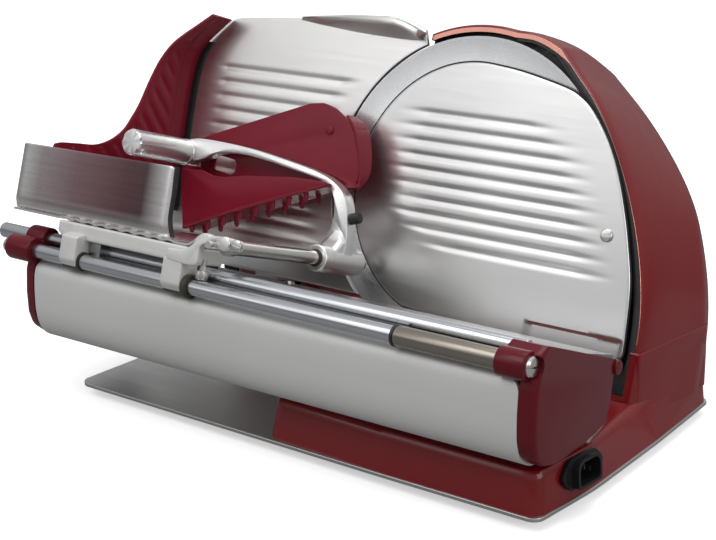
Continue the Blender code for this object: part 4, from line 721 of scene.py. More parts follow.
def smooth_line(points, steps=4):
    out = []
    steps *= 4
    for i in range(len(points) - 1):
        p0 = Vector(points[max(i - 1, 0)])
        p1 = Vector(points[i])
        p2 = Vector(points[i + 1])
        p3 = Vector(points[min(i + 2, len(points) - 1)])
        for k in range(steps):
            s = k / steps
            q = 0.5 * (2 * p1 + (p2 - p0) * s + (2 * p0 - 5 * p1 + 4 * p2 - p3) * s * s
                       + (3 * p1 - p0 - 3 * p2 + p3) * s ** 3)
            out.append((q.x, q.y))
    out.append(tuple(points[-1]))
    return out


def eased(r, h0, h1, edge):
    """Profile points of an end rounded by edge, from (r - edge, h0) to (r, h0 +- edge)."""
    side = 1.0 if h1 > h0 else -1.0
    turns = [math.pi / 2 * k / 4 for k in range(5)]
    return [(r - edge * (1.0 - math.sin(a)), h0 + side * edge * (1.0 - math.cos(a))) for a in turns]


def disc(r, h0, h1, edge=0.0):
    return ring(0.0, r, h0, h1, edge)


def ring(r0, r1, h0, h1, edge=0.0):
    if edge <= 0.0:
        return [(r0, h0), (r1, h0), (r1, h1), (r0, h1)]
    return [(r0, h0)] + eased(r1, h0, h1, edge) + eased(r1, h1, h0, edge)[::-1] + [(r0, h1)]


def settle(obj, mod):
    """Makes a modifier's result the object's own mesh."""
    bpy.context.view_layer.update()
    graph = bpy.context.evaluated_depsgraph_get()
    mesh = bpy.data.meshes.new_from_object(obj.evaluated_get(graph))
    obj.modifiers.remove(mod)
    obj.data = mesh


def combine(obj, other, how, solver='EXACT'):
    mod = obj.modifiers.new(how, 'BOOLEAN')
    mod.operation = how
    mod.solver = solver
    mod.object = other
    settle(obj, mod)
    bpy.data.objects.remove(other, do_unlink=True)


def join(obj, other):
    combine(obj, other, 'UNION')


def cut(obj, other):
    combine(obj, other, 'DIFFERENCE')


def boss(obj, sizes, place, steps):
    """Round boss; sizes are those of its disc."""
    join(obj, revolve("boss", disc(*sizes), place, steps))


def bore(obj, sizes, place, steps):
    """Round hole; sizes are those of its disc."""
    cut(obj, revolve("bore", disc(*sizes), place, steps))


def weld(obj, points, w0, w1, place):
    join(obj, prism("weld", points, w0, w1, place))


def notch(obj, points, w0, w1, place):
    cut(obj, prism("notch", points, w0, w1, place))


def resharp(obj, sharp=SHARP):
    bm = bmesh.new()
    bm.from_mesh(obj.data)
    bmesh.ops.remove_doubles(bm, verts=bm.verts, dist=WELD_M)
    mark_sharp(bm, sharp)
    bm.to_mesh(obj.data)
    bm.free()


def bevel(obj, width_mm, segments=2, angle=SHARP):
    mod = obj.modifiers.new("rounding", 'BEVEL')
    mod.width = width_mm * MM
    mod.segments = segments
    mod.limit_method = 'ANGLE'
    mod.angle_limit = math.radians(angle)
    mod.harden_normals = True
    mod.use_clamp_overlap = True
    settle(obj, mod)


NODE_BODY = {n: body for body, group in frame["record"]["behaviour"]["bodies"].items() for n in group}


def stand(obj, node, *more):
    """The piece takes the place of a solid of the frame and moves with it."""
    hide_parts(node, *more)
    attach(obj, NODE_BODY[node])
    return obj


def extra(obj, node):
    """A detail that rides with a solid of the frame."""
    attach(obj, NODE_BODY[node])
    return obj


def dress(node, mat, width):
    """Gives a finished piece its material and its edges, and sets it in its solid's place."""
    obj = MADE[node]
    resharp(obj)
    obj.data.materials.clear()
    obj.data.materials.append(mat)
    if width > 0.0:
        bevel(obj, width)
    stand(obj, node)


# Places ---------------------------------------------------------------------------

def about_t(x, n):
    return lambda u, v, h: lean(x + u, h, n + v)


def about_x(t, n):
    return lambda u, v, h: lean(h, t + u, n + v)


def about_level_x(y, z):
    return lambda u, v, h: level(h, y + u, z + v)


def about_z(x, y):
    return lambda u, v, h: level(x + u, y + v, h)


def deck_place(x, t):
    return lambda u, v, h: lean(x + u, t + v, h)


BLADE_AXIS = about_t(0, 0)
MOTOR_AXIS = about_t(MOTOR_X, MOTOR_N)
COVER_AXIS = about_t(*COVER_SCREW)
GUIDE_AXIS = about_t(GUIDE_X, GUIDE_N)
SHAFT_AXIS = about_t(SHAFT_X, SHAFT_N)
GRIP_AXIS = about_t(GRIP_X, GRIP_N)
PLATE_SCREW_AXIS = about_t(-117.0, 32.0)
BAR_AXIS = about_x(BAR_T, BAR_N)
ROD_AXIS = about_x(ROD_T, ROD_N)
KNOB_AXIS = about_level_x(KNOB_Y, KNOB_Z)
THUMB_AXIS = deck_place(*THUMB)


def level_from_group(t, n):
    return t * COS_T + n * SIN_T, -t * SIN_T + n * COS_T


def loop_area(points):
    total = 0.0
    for i in range(len(points)):
        x0, y0 = points[i - 1]
        x1, y1 = points[i]
        total += x0 * y1 - x1 * y0
    return total / 2.0


def offset_loop(points, amount):
    """Loop moved outward by amount, or inward where it is negative."""
    side = 1.0 if loop_area(points) > 0.0 else -1.0
    out = []
    count = len(points)
    for i in range(count):
        p = Vector(points[i])
        a = p - Vector(points[i - 1])
        b = Vector(points[(i + 1) % count]) - p
        if a.length < 1e-9:
            a = b
        if b.length < 1e-9:
            b = a
        na = Vector((a.y, -a.x)).normalized() * side
        nb = Vector((b.y, -b.x)).normalized() * side
        m = (na + nb)
        m = m / max(m.length_squared / 2.0, 0.6)
        q = p + m * amount
        out.append((q.x, q.y))
    return out


def offset_line(points, amount):
    out = []
    for i in range(len(points)):
        a = Vector(points[max(i - 1, 0)])
        b = Vector(points[min(i + 1, len(points) - 1)])
        d = (b - a).normalized()
        out.append((points[i][0] + d.y * amount, points[i][1] - d.x * amount))
    return out


def grown(corners, amount, steps=5):
    """Rounded loop whose sides are moved outward by amount."""
    sides = offset_loop([(x, y) for x, y, r in corners], amount)
    sized = []
    for (x, y), (_, _, r) in zip(sides, corners):
        sized.append((x, y, max(r + amount, 0.8) if r > 0.0 else 0.0))
    return rounded(sized, steps)


def flank(n):
    """Share of the sideways flare at height n: none at the crown, all of it below the blade centre."""
    return ease((0.86 * RIM_R - n) / (0.8 * RIM_R))


# Pieces ---------------------------------------------------------------------------

def shell_loop(grow, flare, drop, t):
    """Outline of the motor housing at depth t, closed at height drop."""
    line = rim_outer(crown_rise(t))
    out = [(x + (flare * flank(n) if x > 0.0 else 0.0), n) for x, n in offset_line(line, -grow)]
    low = n_at_height(drop, t)
    right = out[-1][0]
    left = out[0][0] - grow * 0.3
    return out + [(right + 0.4, (out[-1][1] + low) / 2), (right + 0.4, low), (left, low), (left, low * 0.5)]


def shell_loft(name, rows, drop):
    rings = [[lean(x, t, n) for x, n in shell_loop(g, f, drop, t)] for g, f, t in rows]
    return loft(name, rings)


def crest_loft(name, rows):
    """Level rings between the base's foot and its crest; rows are (share, grow, z)."""
    rings = []
    for share, grow, z in rows:
        corners = [(a[0] + (b[0] - a[0]) * share, a[1] + (b[1] - a[1]) * share, a[2] + (b[2] - a[2]) * share)
                   for a, b in zip(BASE_CORNERS, CREST_CORNERS)]
        rings.append([level(x, y, z) for x, y in grown(corners, grow, 3)])
    return loft(name, rings)


def level_loft(name, corners, rows):
    rings = [[level(x, y, z) for x, y in grown(corners, g, 3)] for g, z in rows]
    return loft(name, rings)


def build_housing():
    rows = [(0.0, 0.0, PLATE_TOP), (0.72, 0.0, BASE_TOP - 7.0), (0.9, -0.3, BASE_TOP - 3.0),
            (1.0, -1.6, BASE_TOP - 0.8), (1.0, -4.0, BASE_TOP)]
    body = crest_loft("housing", rows)
    sunk = BASE_TOP - 13.5
    rows = [(0.5, sunk), (0.3, BASE_TOP + 8.0), (-0.2, BASE_TOP + 35.4), (-0.8, BASE_TOP + 36.2)]
    block = level_loft("housing_shoulder", SHOULDER_CORNERS, rows)
    rows = [(-2.6, 0.0, 0.0), (-0.8, 0.0, 0.6), (0.0, 0.2, 2.6), (0.5, 1.4, 10.0), (0.45, 2.7, 20.0),
            (0.3, 4.1, 30.0), (0.2, 5.0, 38.0), (-0.4, 7.5, 56.0), (-1.2, 10.0, 74.0), (-2.2, 12.6, 85.0),
            (-3.6, 14.6, 94.0), (-7.0, 14.8, 100.0), (-12.5, 13.0, SHELL_DEPTH)]
    shell = shell_loft("housing_shell", rows, sunk)
    rows = [(3.0, sunk), (0.0, POD_TOP - 8.0), (-2.0, POD_TOP - 3.0), (-6.0, POD_TOP)]
    pod = level_loft("housing_pod", POD_CORNERS, rows)
    for other in (block, shell, pod):
        join(body, other)
    hollow_housing(body)
    fill_housing(body)
    return body


def hollow_housing(body):
    rows = [(-0.08, -3.5, PLATE_TOP - 3.0), (0.8, -4.5, BASE_TOP - WALL - 4.0), (1.0, -7.5, BASE_TOP - WALL)]
    low = crest_loft("housing_cut_base", rows)
    rows = [(-4.0, 0.4, 5.0), (-4.2, 4.0, 38.0), (-5.6, 9.0, 74.0), (-8.4, 13.0, 91.0),
            (-16.0, 12.0, SHELL_DEPTH - WALL)]
    inner = shell_loft("housing_cut_shell", rows, PLATE_TOP - 2.0)
    rows = [(-WALL, PLATE_TOP - 2.5), (-WALL - 0.5, POD_TOP - WALL - 0.5)]
    pod_cut = level_loft("housing_cut_pod", POD_CORNERS, rows)
    mouth = offset_line(rim_outer(), RIM_BAND)
    last = n_at_height(BASE_TOP + 3.0, 4.0)
    mouth = [(-90.0, mouth[0][1])] + mouth + [(mouth[-1][0], last), (-90.0, last)]
    front = prism("housing_cut_front", mouth, -6.0, 6.0, on_xn)
    inlet = prism("housing_cut_inlet", inlet_loop(27.4, 19.4, 3.0), 160.0, 200.0, on_inlet)
    slot = prism("housing_cut_slot", [(SLOT_X[0], -6.0), (SLOT_X[1], -6.0), (SLOT_X[1], 12.0),
                                      (SLOT_X[0], 12.0)], BASE_TOP + 0.5, POD_TOP + 2.0, on_xy)
    pocket = revolve("housing_cut_pocket", disc(BLADE_R + 0.9, -1.0, 7.4), BLADE_AXIS, 72)
    for other in (low, inner, pod_cut, front, inlet, slot, pocket):
        cut(body, other)
    for y, z, r in ((KNOB_Y, KNOB_Z, KNOB_SHAFT_R + TURN_GAP), (BUTTON_Y, BUTTON_Z[0], BUTTON_R + GAP),
                    (BUTTON_Y, BUTTON_Z[1], BUTTON_R + GAP)):
        bore(body, (r, POD_X - 4.0, POD_X + 12.0), about_level_x(y, z), 24)


def fill_housing(body):
    """Wall behind the blade and the boss that takes the cover screw."""
    edge = offset_line(rim_outer(), 1.5)
    low = n_at_height(BASE_TOP - 1.0, 9.0)
    left = arc(0, 0, BLADE_R + 1.2, 205.0, 116.0, 20)
    loop = left + edge + [(edge[-1][0], low), (-57.0, low), (-60.0, -112.0)]
    weld(body, loop, BULKHEAD_T[0], BULKHEAD_T[1], on_xn)
    boss(body, (7.0, -0.9, BULKHEAD_T[0] + 1.0), COVER_AXIS, 20)
    bore(body, (PULLEY_R + 4.0, 4.0, 16.0), BLADE_AXIS, 40)
    bore(body, (3.0, -4.0, 14.0), COVER_AXIS, 20)


def on_inlet(u, v, w):
    """u along the side face, v up, w outward."""
    out = (w - INLET_FACE) * math.cos(INLET_PITCH) - v * math.sin(INLET_PITCH)
    x = INLET_FACE + out * math.cos(INLET_YAW) + u * math.sin(INLET_YAW)
    y = INLET_Y + u * math.cos(INLET_YAW) - out * math.sin(INLET_YAW)
    return level(x, y, INLET_Z + v * math.cos(INLET_PITCH) + (w - INLET_FACE) * math.sin(INLET_PITCH))


def inlet_loop(width, height, r):
    w = width / 2
    h = height / 2
    return rounded([(-w, -h, r), (w, -h, r), (w, h, r * 2.4), (-w, h, r * 2.4)], 3)


def build_inlet():
    face = INLET_FACE
    ear = [(-25, 0), (-22.8, 4.4), (-15, 11), (15, 11), (22.8, 4.4), (25, 0), (22.8, -4.4), (15, -11),
           (-15, -11), (-22.8, -4.4)]
    flange = prism("inlet", ear, face + 0.3, face + 3.2, on_inlet)
    collar = prism("inlet_collar", inlet_loop(29.6, 20.4, 3.0), face + 2.0, face + 9.0, on_inlet)
    plug = prism("inlet_body", inlet_loop(26.8, 18.8, 3.0), face - 18.0, face + 2.0, on_inlet)
    well = prism("inlet_well", inlet_loop(24.6, 16.0, 2.6), face - 11.0, face + 12.0, on_inlet)
    join(flange, collar)
    join(flange, plug)
    cut(flange, well)
    for u in (-7.0, 0.0, 7.0):
        v = 1.6 if u == 0.0 else -1.6
        pin = [(u - 1.0, v - 2.0), (u + 1.0, v - 2.0), (u + 1.0, v + 2.0), (u - 1.0, v + 2.0)]
        weld(flange, pin, face - 13.0, face + 4.0, on_inlet)


def build_base():
    plan = rounded([(-247.0, -187.5, 12), (60, -192.6, 600), (189.4, -193.4, 9), (193.6, -121, 300),
                    (189.8, -18, 400), (183.2, 84.5, 11), (-40, 85.5, 600), (-247.5, 84.5, 14),
                    (-248.5, -60, 500)], 6)
    prism("base_plate", plan, PLATE_BOTTOM, PLATE_TOP - SEAT, on_xy)
    for i, (x, y) in enumerate(FOOT_SPOTS):
        low = -FLOOR_DROP
        profile = [(0.0, low), (FOOT_R - 1.5, low), (FOOT_R, low + 1.5), (FOOT_R - 1.2, PLATE_BOTTOM - SEAT),
                   (0.0, PLATE_BOTTOM - SEAT)]
        revolve("foot_%d" % (i + 1), profile, about_z(x, y), 24)


def build_motor_bracket():
    """Cradle between the motor and the base plate."""
    floor = PLATE_TOP + SEAT
    x0 = MOTOR_X - 30.0
    x1 = MOTOR_X + 30.0
    t0, t1 = 44.0, 80.0
    ends = []
    for t in (t0, t1):
        ring_pts = [lean(x0, t, n_at_height(floor, t)), lean(x1, t, n_at_height(floor, t))]
        for i in range(9):
            a = math.radians(-30.0 - 120.0 * i / 8)
            r = MOTOR_R + GAP
            ring_pts.append(lean(MOTOR_X + r * math.cos(a), t, MOTOR_N + r * math.sin(a)))
        ends.append(ring_pts)
    loft("motor_bracket", ends)


def build_belt():
    """Flat belt round both pulleys."""
    d = Vector((MOTOR_X, MOTOR_N))
    span = d.length
    base = math.degrees(math.atan2(d.y, d.x))
    lean_deg = math.degrees(math.acos((PULLEY_R - MOTOR_PULLEY_R) / span))
    loops = []
    for grow in (GAP, GAP + BELT_THICK):
        big = arc(0, 0, PULLEY_R + grow, base + lean_deg, base + 360.0 - lean_deg, 24)
        small = arc(MOTOR_X, MOTOR_N, MOTOR_PULLEY_R + grow, base - lean_deg, base + lean_deg, 10)
        loops.append(big + small)
    low, high = loops
    rows = ((low, BELT_T0), (high, BELT_T0), (high, BELT_T1), (low, BELT_T1))
    band("drive_belt", [[lean(x, t, n) for x, n in loop] for loop, t in rows])


def build_blade():
    r = BLADE_R
    profile = [(BLADE_BORE_R, 4.2), (COVER_R, BLADE_DISH), (r - 2.6, 0.42), (r, 0.1), (r - 4.0, 1.9),
               (COVER_R, 5.0), (BLADE_BORE_R, 5.8)]
    revolve("blade", profile, BLADE_AXIS, 80, sharp=25.0)
    profile = [(0.0, 1.8), (BLADE_BORE_R - 0.1, 1.8), (BLADE_BORE_R - 0.1, 6.0),
               (HUB_R, 6.0), (HUB_R, 10.0), (PULLEY_R, 10.0), (PULLEY_R, 26.0), (14.0, 26.0), (14.0, 29.0),
               (SPINDLE_R, 29.0), (SPINDLE_R, 64.0), (0.0, 64.0)]
    revolve("blade_spindle", profile, BLADE_AXIS, 32)
    for i, t in enumerate((30.0, 52.0)):
        race = ring(SPINDLE_R + TURN_GAP, 17.0, t, t + 10.0, 0.6)
        revolve("bearing_%d" % (i + 1), race, BLADE_AXIS, 32)
    tube = [(17.03, 29.5), (23.0, 29.5), (23.0, SHELL_DEPTH - WALL - 6.0), (34.0, SHELL_DEPTH - WALL - 4.0),
            (34.0, SHELL_DEPTH - WALL - SEAT), (0.0, SHELL_DEPTH - WALL - SEAT), (0.0, 70.0), (17.03, 70.0)]
    revolve("bearing_carrier", tube, BLADE_AXIS, 32)
    motor = [(0.0, 27.0), (12.0, 27.0), (12.0, 32.0), (MOTOR_R - 6.0, 32.0), (MOTOR_R, 38.0), (MOTOR_R, 88.0),
             (MOTOR_R - 8.0, 95.0), (0.0, 95.0)]
    revolve("motor", motor, MOTOR_AXIS, 24)
    build_motor_bracket()
    pulley = [(0.0, 11.3), (MOTOR_PULLEY_R, 11.3), (MOTOR_PULLEY_R, 26.0), (5.0, 26.0), (5.0, 26.8),
              (0.0, 26.8)]
    revolve("motor_pulley", pulley, MOTOR_AXIS, 24)
    build_belt()


def cover_front(x):
    """Depth of the cover's front face, nearer the viewer over the blade edge on the right."""
    return 0.3 - 4.5 * ease((x + 104.0) / 150.0)


def rib_depth(x, n, first, pitch, count, left, right, soft):
    k = (first - n) / pitch
    if k < -0.5 or k > count - 0.5:
        return 0.0
    fade = unit(min((x - left) / soft, (right - x) / soft))
    return fade * 0.5 * (1.0 + math.cos(2.0 * math.pi * k))


def build_seal():
    outer = offset_line(rim_outer()[25:], RIM_BAND + SEAL_SEAT)
    outer.append((outer[-1][0], n_at_height(BASE_TOP + 4.0, 4.0)))
    inner = offset_line(outer, SEAL_THICK)
    inner[-1] = (outer[-1][0] - SEAL_THICK, outer[-1][1])
    loop = outer + inner[::-1]
    prism("rim_seal", loop, 0.8, 4.0, on_xn)


def gauge_loop():
    a1 = math.degrees(math.asin(GAUGE_BOTTOM / GAUGE_R))
    edge = arc(0, 0, GAUGE_R, 117.0, 180.0 - a1, 34)
    low = rounded([(edge[-1][0], GAUGE_BOTTOM, 0), (GAUGE_LEFT, GAUGE_BOTTOM, 14), (GAUGE_LEFT, 60.0, 0)], 5)
    x = GAUGE_LEFT
    top = GAUGE_R + 6.0
    crown = smooth_line([(x, 60.0), (x + 0.2, 72.0), (x + 2.6, 83.0), (x + 11.0, 95.0),
                         (x + 27.5, top - 22.7), (x + 39.5, top - 15.2), (x + 61.5, top - 12.4),
                         (-191.6, top - 8.8), (-150.0, top - 4.6), (-114.0, top - 0.4), (-97.0, top),
                         (-76.0, top - 2.6), (-0.4874 * GAUGE_R, top - 8.2)], 3)
    return edge + low[1:-1] + crown


def knob_axis():
    t = KNOB_Y * COS_T - KNOB_Z * SIN_T
    n = KNOB_Y * SIN_T + KNOB_Z * COS_T
    return t, n


def build_gauge_guide():
    t0, t1 = 91.5, 98.5
    revolve("gauge_rod", disc(GUIDE_R, GUIDE_T0, t1, 0.8), GUIDE_AXIS, 24)
    floor = PLATE_TOP + SEAT
    x0, x1 = GUIDE_X - 12.0, GUIDE_X + 12.0
    ends = []
    for t in (t0, t1):
        low = n_at_height(floor, t)
        foot = n_at_height(floor + 4.0, t)
        loop = [(x0 - 12, low), (x1 + 12, low), (x1 + 12, foot), (x1, foot), (x1, GUIDE_N + 4)]
        loop += arc(GUIDE_X, GUIDE_N, 12.0, 20.0, 160.0, 8) + [(x0, GUIDE_N + 4), (x0, foot), (x0 - 12, foot)]
        ends.append([lean(x, t, n) for x, n in loop])
    bracket = loft("gauge_bracket", ends)
    bore(bracket, (GUIDE_R + SEAT, t0 - 3.0, t1 + 3.0), GUIDE_AXIS, 24)


def build_controls():
    x = POD_X
    knob = [(0.0, x - 24.0), (KNOB_R - 5.0, x - 24.0), (KNOB_R - 3.0, x - 22.0), (KNOB_R - 3.0, x - 8.0),
            (KNOB_R, x - 6.0), (KNOB_R, x - 3.4), (KNOB_SHAFT_R + SEAT, x - 3.4),
            (KNOB_SHAFT_R + SEAT, x - 18.0), (0.0, x - 18.0)]
    body = revolve("gauge_knob", knob, KNOB_AXIS, 28)
    for i in range(6):
        a = math.radians(60.0 * i)
        y = KNOB_Y + (KNOB_R + 1.0) * math.cos(a)
        z = KNOB_Z + (KNOB_R + 1.0) * math.sin(a)
        bore(body, (5.4, x - 27.0, x - 7.5), about_level_x(y, z), 8)
    revolve("knob_shaft", [(0.0, x - 17.9), (KNOB_SHAFT_R - 0.08, x - 17.9),
                           (KNOB_SHAFT_R - 0.08, CAM_X[1] + 4.0), (0.0, CAM_X[1] + 4.0)], KNOB_AXIS, 28)
    loop = []
    for i in range(45):
        a = 335.0 * i / 44.0 - 20.0
        r = CAM_R0 + CAM_LIFT * unit(a / CAM_TURN)
        loop.append((r * math.cos(math.radians(-a)), r * math.sin(math.radians(-a))))
    t, n = knob_axis()
    cam = prism("thickness_cam", [(t + u, n + v) for u, v in loop], CAM_X[0], CAM_X[1], on_tn)
    bore(cam, (KNOB_SHAFT_R + SEAT, CAM_X[0] - 2.0, CAM_X[1] + 2.0), KNOB_AXIS, 28)
    for name, z in (("start_button", BUTTON_Z[0]), ("stop_button", BUTTON_Z[1])):
        stem = [(0.0, x - 5.0), (BUTTON_R - 1.0, x - 5.0), (BUTTON_R, x - 4.0), (BUTTON_R, x + 8.0),
                (0.0, x + 8.0)]
        revolve(name, stem, about_level_x(BUTTON_Y, z), 24)
    lo, hi = x + WALL + 0.5 + GAP, x + 15.5
    z0, z1 = BUTTON_Z[1] - 14.0, BUTTON_Z[0] + 12.0
    box = [(BUTTON_Y - 9.5, z0), (BUTTON_Y + 9.5, z0), (BUTTON_Y + 9.5, z1), (BUTTON_Y - 9.5, z1)]
    switch = prism("switch_body", box, lo, hi, on_yz)
    for z in BUTTON_Z:
        bore(switch, (BUTTON_R + GAP, x, x + 11.5), about_level_x(BUTTON_Y, z), 24)


def skirt(y, share):
    """Point of the rail skirt, its height a share of the way from the skirt's top down to the base."""
    return y, SKIRT_TOP + share * (BASE_TOP + GAP - SKIRT_TOP)


def panel_line():
    return smooth_line([skirt(-201.8, -0.068), skirt(-206.4, -0.042), skirt(-210.8, -0.008),
                        skirt(-213.4, 0.06), skirt(-214.5, 0.16), skirt(-215.0, 0.3134),
                        skirt(-214.5, 0.5271), skirt(-211.4, 0.698), skirt(-205.5, 0.812),
                        skirt(-197.0, 0.8775), skirt(-186.0, 0.906)], 3)


def panel_loop(grow, outward=0.0):
    line = panel_line()
    inside = offset_line(line, -PANEL_THICK - grow)
    outside = offset_line(line, max(grow, outward))
    return outside + inside[::-1]


def cap_ring(loop, x, bite):
    """Section of an end cap; its outer face tapers towards the back."""
    out = []
    taper = CAP_TAPER if x > CAP_X0 + 10.0 else 0.0
    for y, z in loop:
        f = unit((-178.0 - y) / 37.0)
        top = unit((z + 76.0) / 30.0)
        out.append(level(x - taper * (y + 215.0), y + bite * f, z - bite * f * top * 0.32))
    return out


def finish_cap(cap, x1, b0, b1, right):
    """Bosses and bores of an end cap, and on the right one the panel's seat and the screw's."""
    if right:
        notch(cap, panel_loop(GAP, 8.0), PANEL_X[0] - GAP, PANEL_X[1] + GAP, on_yz)
    boss(cap, (BOSS_R, b0, b1, 1.0), BAR_AXIS, 24)
    if right:
        boss(cap, (5.4, x1 - 24.0, x1 - 7.5, 0.8), about_x(-59.0, -102.6), 16)
    else:
        boss(cap, (ROD_R + 3.4, b0 + 4.0, b1 - 2.0, 1.0), ROD_AXIS, 20)
    start, end = (100.0, 189.0) if right else (-296.0, -200.0)
    bore(cap, (BAR_R + SEAT, start, end), BAR_AXIS, 32)
    if right:
        bore(cap, (4.1, 187.0, 210.0), BAR_AXIS, 20)
        bore(cap, (7.7, 190.5, 215.0), BAR_AXIS, 24)
    end = 180.0 if right else 200.0
    rod = revolve(cap.name + "_rod_bore", disc(ROD_R + SEAT, -330.0, end), ROD_AXIS, 28)
    combine(cap, rod, 'DIFFERENCE', 'MANIFOLD')


def build_rails():
    panel = prism("front_panel", panel_loop(0.0), PANEL_X[0], PANEL_X[1], on_yz)
    x, z = PANEL_X[1] - 8.5, SKIRT_TOP - 7.5
    corner = [(CAP_X0 - 1.3, -40.0), (CAP_X0 - 1.3, z + 8.5), (x, z + 8.5)]
    corner += arc(x, z, 8.5, 90.0, 0.0, 8) + [(x + 8.5, -90.0), (x + 25.0, -90.0), (x + 25.0, -40.0)]
    notch(panel, corner, -230.0, -180.0, on_xz)
    ridge = [(-165.4, -96.8), (-165.4, -92.8), (-163.0, -92.2), (-160.0, -92.8), (-158.6, -94.6),
             (-156.0, -94.8), (-154.6, -93.4), (-151.0, -93.0), (-148.0, -93.6), (-146.4, -94.5),
             (DECK_REAR, DECK_N), (DECK_REAR, -96.8)]
    deck = prism("deck_plate", ridge, -262.0, 184.0, on_tn)
    for i, (x, t) in enumerate(DECK_SCREWS):
        bore(deck, (2.05, -99.0, -90.0), deck_place(x, t), 16)
        head = [(0.0, -107.0), (2.0, -107.0), (2.0, DECK_N + SEAT), (4.2, DECK_N + SEAT), (3.4, DECK_N + 1.6),
                (0.0, DECK_N + 2.0)]
        revolve("deck_screw_%d" % (i + 1), head, deck_place(x, t), 16)
    build_beam()
    revolve("front_bar", disc(BAR_R, -295.5, 188.5, 0.6), BAR_AXIS, 32)
    revolve("bar_sleeve", ring(BAR_R + SEAT, SLEEVE_R, SLEEVE_X0 + 2.2, 168.3, 0.3), BAR_AXIS, 32)
    revolve("stop_ring", ring(BAR_R + SEAT, SLEEVE_R + 0.5, SLEEVE_X0 - 0.4, SLEEVE_X0 + 2.0, 0.5), BAR_AXIS,
            32)
    head = [(0.0, 189.0), (4.0, 189.0), (4.0, 190.52), (7.3, 190.52), (7.3, 192.2), (6.2, 193.4),
            (0.0, 193.6)]
    screw = revolve("bar_screw", head, BAR_AXIS, 28)
    low, high = BAR_N - 0.7, BAR_N + 0.7
    notch(screw, [(-200, low), (-178, low), (-178, high), (-200, high)], 192.3, 196.0, on_tn)
    revolve("rear_rod", disc(ROD_R, -320.0, 179.0, 1.2), ROD_AXIS, 28)


def build_beam():
    """Casting that carries the rails on top of the base."""
    top0 = level_from_group(-160.0, -97.1)
    top1 = level_from_group(-66.0, -97.1)
    base = BASE_TOP + SEAT
    loop = [top0, top1, (top1[0], top1[1] - 8.0), (-113.0, -91.0), (-113.0, base + 5.0), (-104.0, base + 5.0),
            (-104.0, base), (-160.0, base), (-160.0, base + 5.0), (-119.0, base + 5.0), (-119.0, -91.0),
            (top0[0] + 6.0, top0[1] - 14.0), (top0[0], top0[1] - 14.0)]
    beam = prism("rail_beam", loop, -240.0, 150.0, on_yz)
    notch(beam, [(-170, base - 2), (-96, base - 2), (-96, -100), (-170, -100)], -250.0, -38.0, on_yz)
    for x, t in DECK_SCREWS:
        bore(beam, (2.05, -109.0, -90.0), deck_place(x, t), 16)


def tray_floor_n(x):
    """Floor height: ribs along T and a curl at the right end."""
    wave = 0.9 * (1.0 + math.cos(2.0 * math.pi * (x + 243.0) / 14.0)) if -250.0 < x < -124.0 else 0.0
    curl = 0.0
    if x > -114.0:
        curl = 9.0 * ((x + 114.0) / 12.0) ** 2
    return FLOOR_N + wave * 0.6 + curl


def build_shaft():
    profile = [(0.0, LUG_T[0] - 1.0), (STUD_R, LUG_T[0] - 1.0), (STUD_R, -180.0), (SHAFT_R + 1.1, -180.0),
               (SHAFT_R + 1.1, -171.8), (SHAFT_R, -171.8), (SHAFT_R, -9.2), (SHAFT_R - 0.7, -8.5),
               (0.0, -8.5)]
    revolve("pusher_shaft", profile, SHAFT_AXIS, 28)


def bumper_place(u, v, h):
    """Short rubber stop on the right of the arm, tipped slightly up."""
    lean_a = math.radians(17.0)
    x = -75.0 + h * math.cos(lean_a) - u * math.sin(lean_a)
    n = -36.6 + h * math.sin(lean_a) + u * math.cos(lean_a)
    return lean(x, -40.0 + v, n)


def build_gauge_carrier():
    back = GAUGE_T + GAUGE_THICK + SEAT
    right = -GAUGE_R - 12.8
    n = GUIDE_N
    spine = rounded([(-230, -60, 6), (GUIDE_X - 18, -60, 4), (GUIDE_X - 18, n - 6, 0),
                     (GUIDE_X + 18, n - 6, 0), (GUIDE_X + 18, -60, 4), (right, -60, 6), (right, 20, 10),
                     (right - 36, 60, 10), (-230, 60, 10)])
    carrier = prism("gauge_carrier", spine, back, back + 6.0, on_xn)
    weld(carrier, [(back + 3.0, n - 11.0), (75.5, n - 11.0), (75.5, n + 10.0), (16.0, n + 10.0),
                   (back + 3.0, n + 36.0)], GUIDE_X - 12.0, GUIDE_X + 12.0, on_tn)
    bore(carrier, (GUIDE_R + 0.05, GUIDE_T0 - CAM_LIFT - 1.0, 90.0), GUIDE_AXIS, 24)
    t, n = knob_axis()
    boss(carrier, (3.0, CAM_X[0] + 0.5, GUIDE_X - 11.0), about_x(t + CAM_R0 + 3.4, n), 16)


def rim_outer(rise=1.0):
    head = arc(0, 0, RIM_R, 114.0, 80.0, 8)
    top = []
    for (x, n), (dx, dn) in zip(RIM_CROWN, CROWN_RISE):
        top.append(((x + dx * rise) * RIM_R, (n + dn * rise) * RIM_R))
    crown = smooth_line([head[-1]] + top, 2)
    side = smooth_line([top[-1]] + [(x * RIM_R, n * RIM_R) for x, n in RIM_FLANK], 2)
    return head + crown[1:] + side[1:]


def crown_rise(t):
    """The corner of the crown swells behind the front edge and fades out towards the back."""
    if t < 30.0:
        return 1.0 + 0.9 * ease(t / 30.0)
    return 1.9 * (1.0 - ease((t - 30.0) / 64.0))


def cover_loop():
    left = arc(0, 0, COVER_R, 250.0, 84.0, 36)
    edge = smooth_line([left[-1], (30.0, 101.2)] + [(x * BLADE_R, n * BLADE_R) for x, n in COVER_SIDE], 3)
    x, n = edge[-1]
    low = rounded([(x, n, 0), (x + 0.6, n - 16.7, 11), (0.48 * BLADE_R, n - 16.7, 0)], 6)
    return left + edge[1:-1] + low


def build_floor(m):
    pts = [(-40.0, -40.0), (40.0, -40.0), (40.0, 40.0), (-40.0, 40.0)]
    floor = add_mesh("floor", [(x, y, 0.0) for x, y in pts], [(0, 1, 2, 3)], m["floor"])


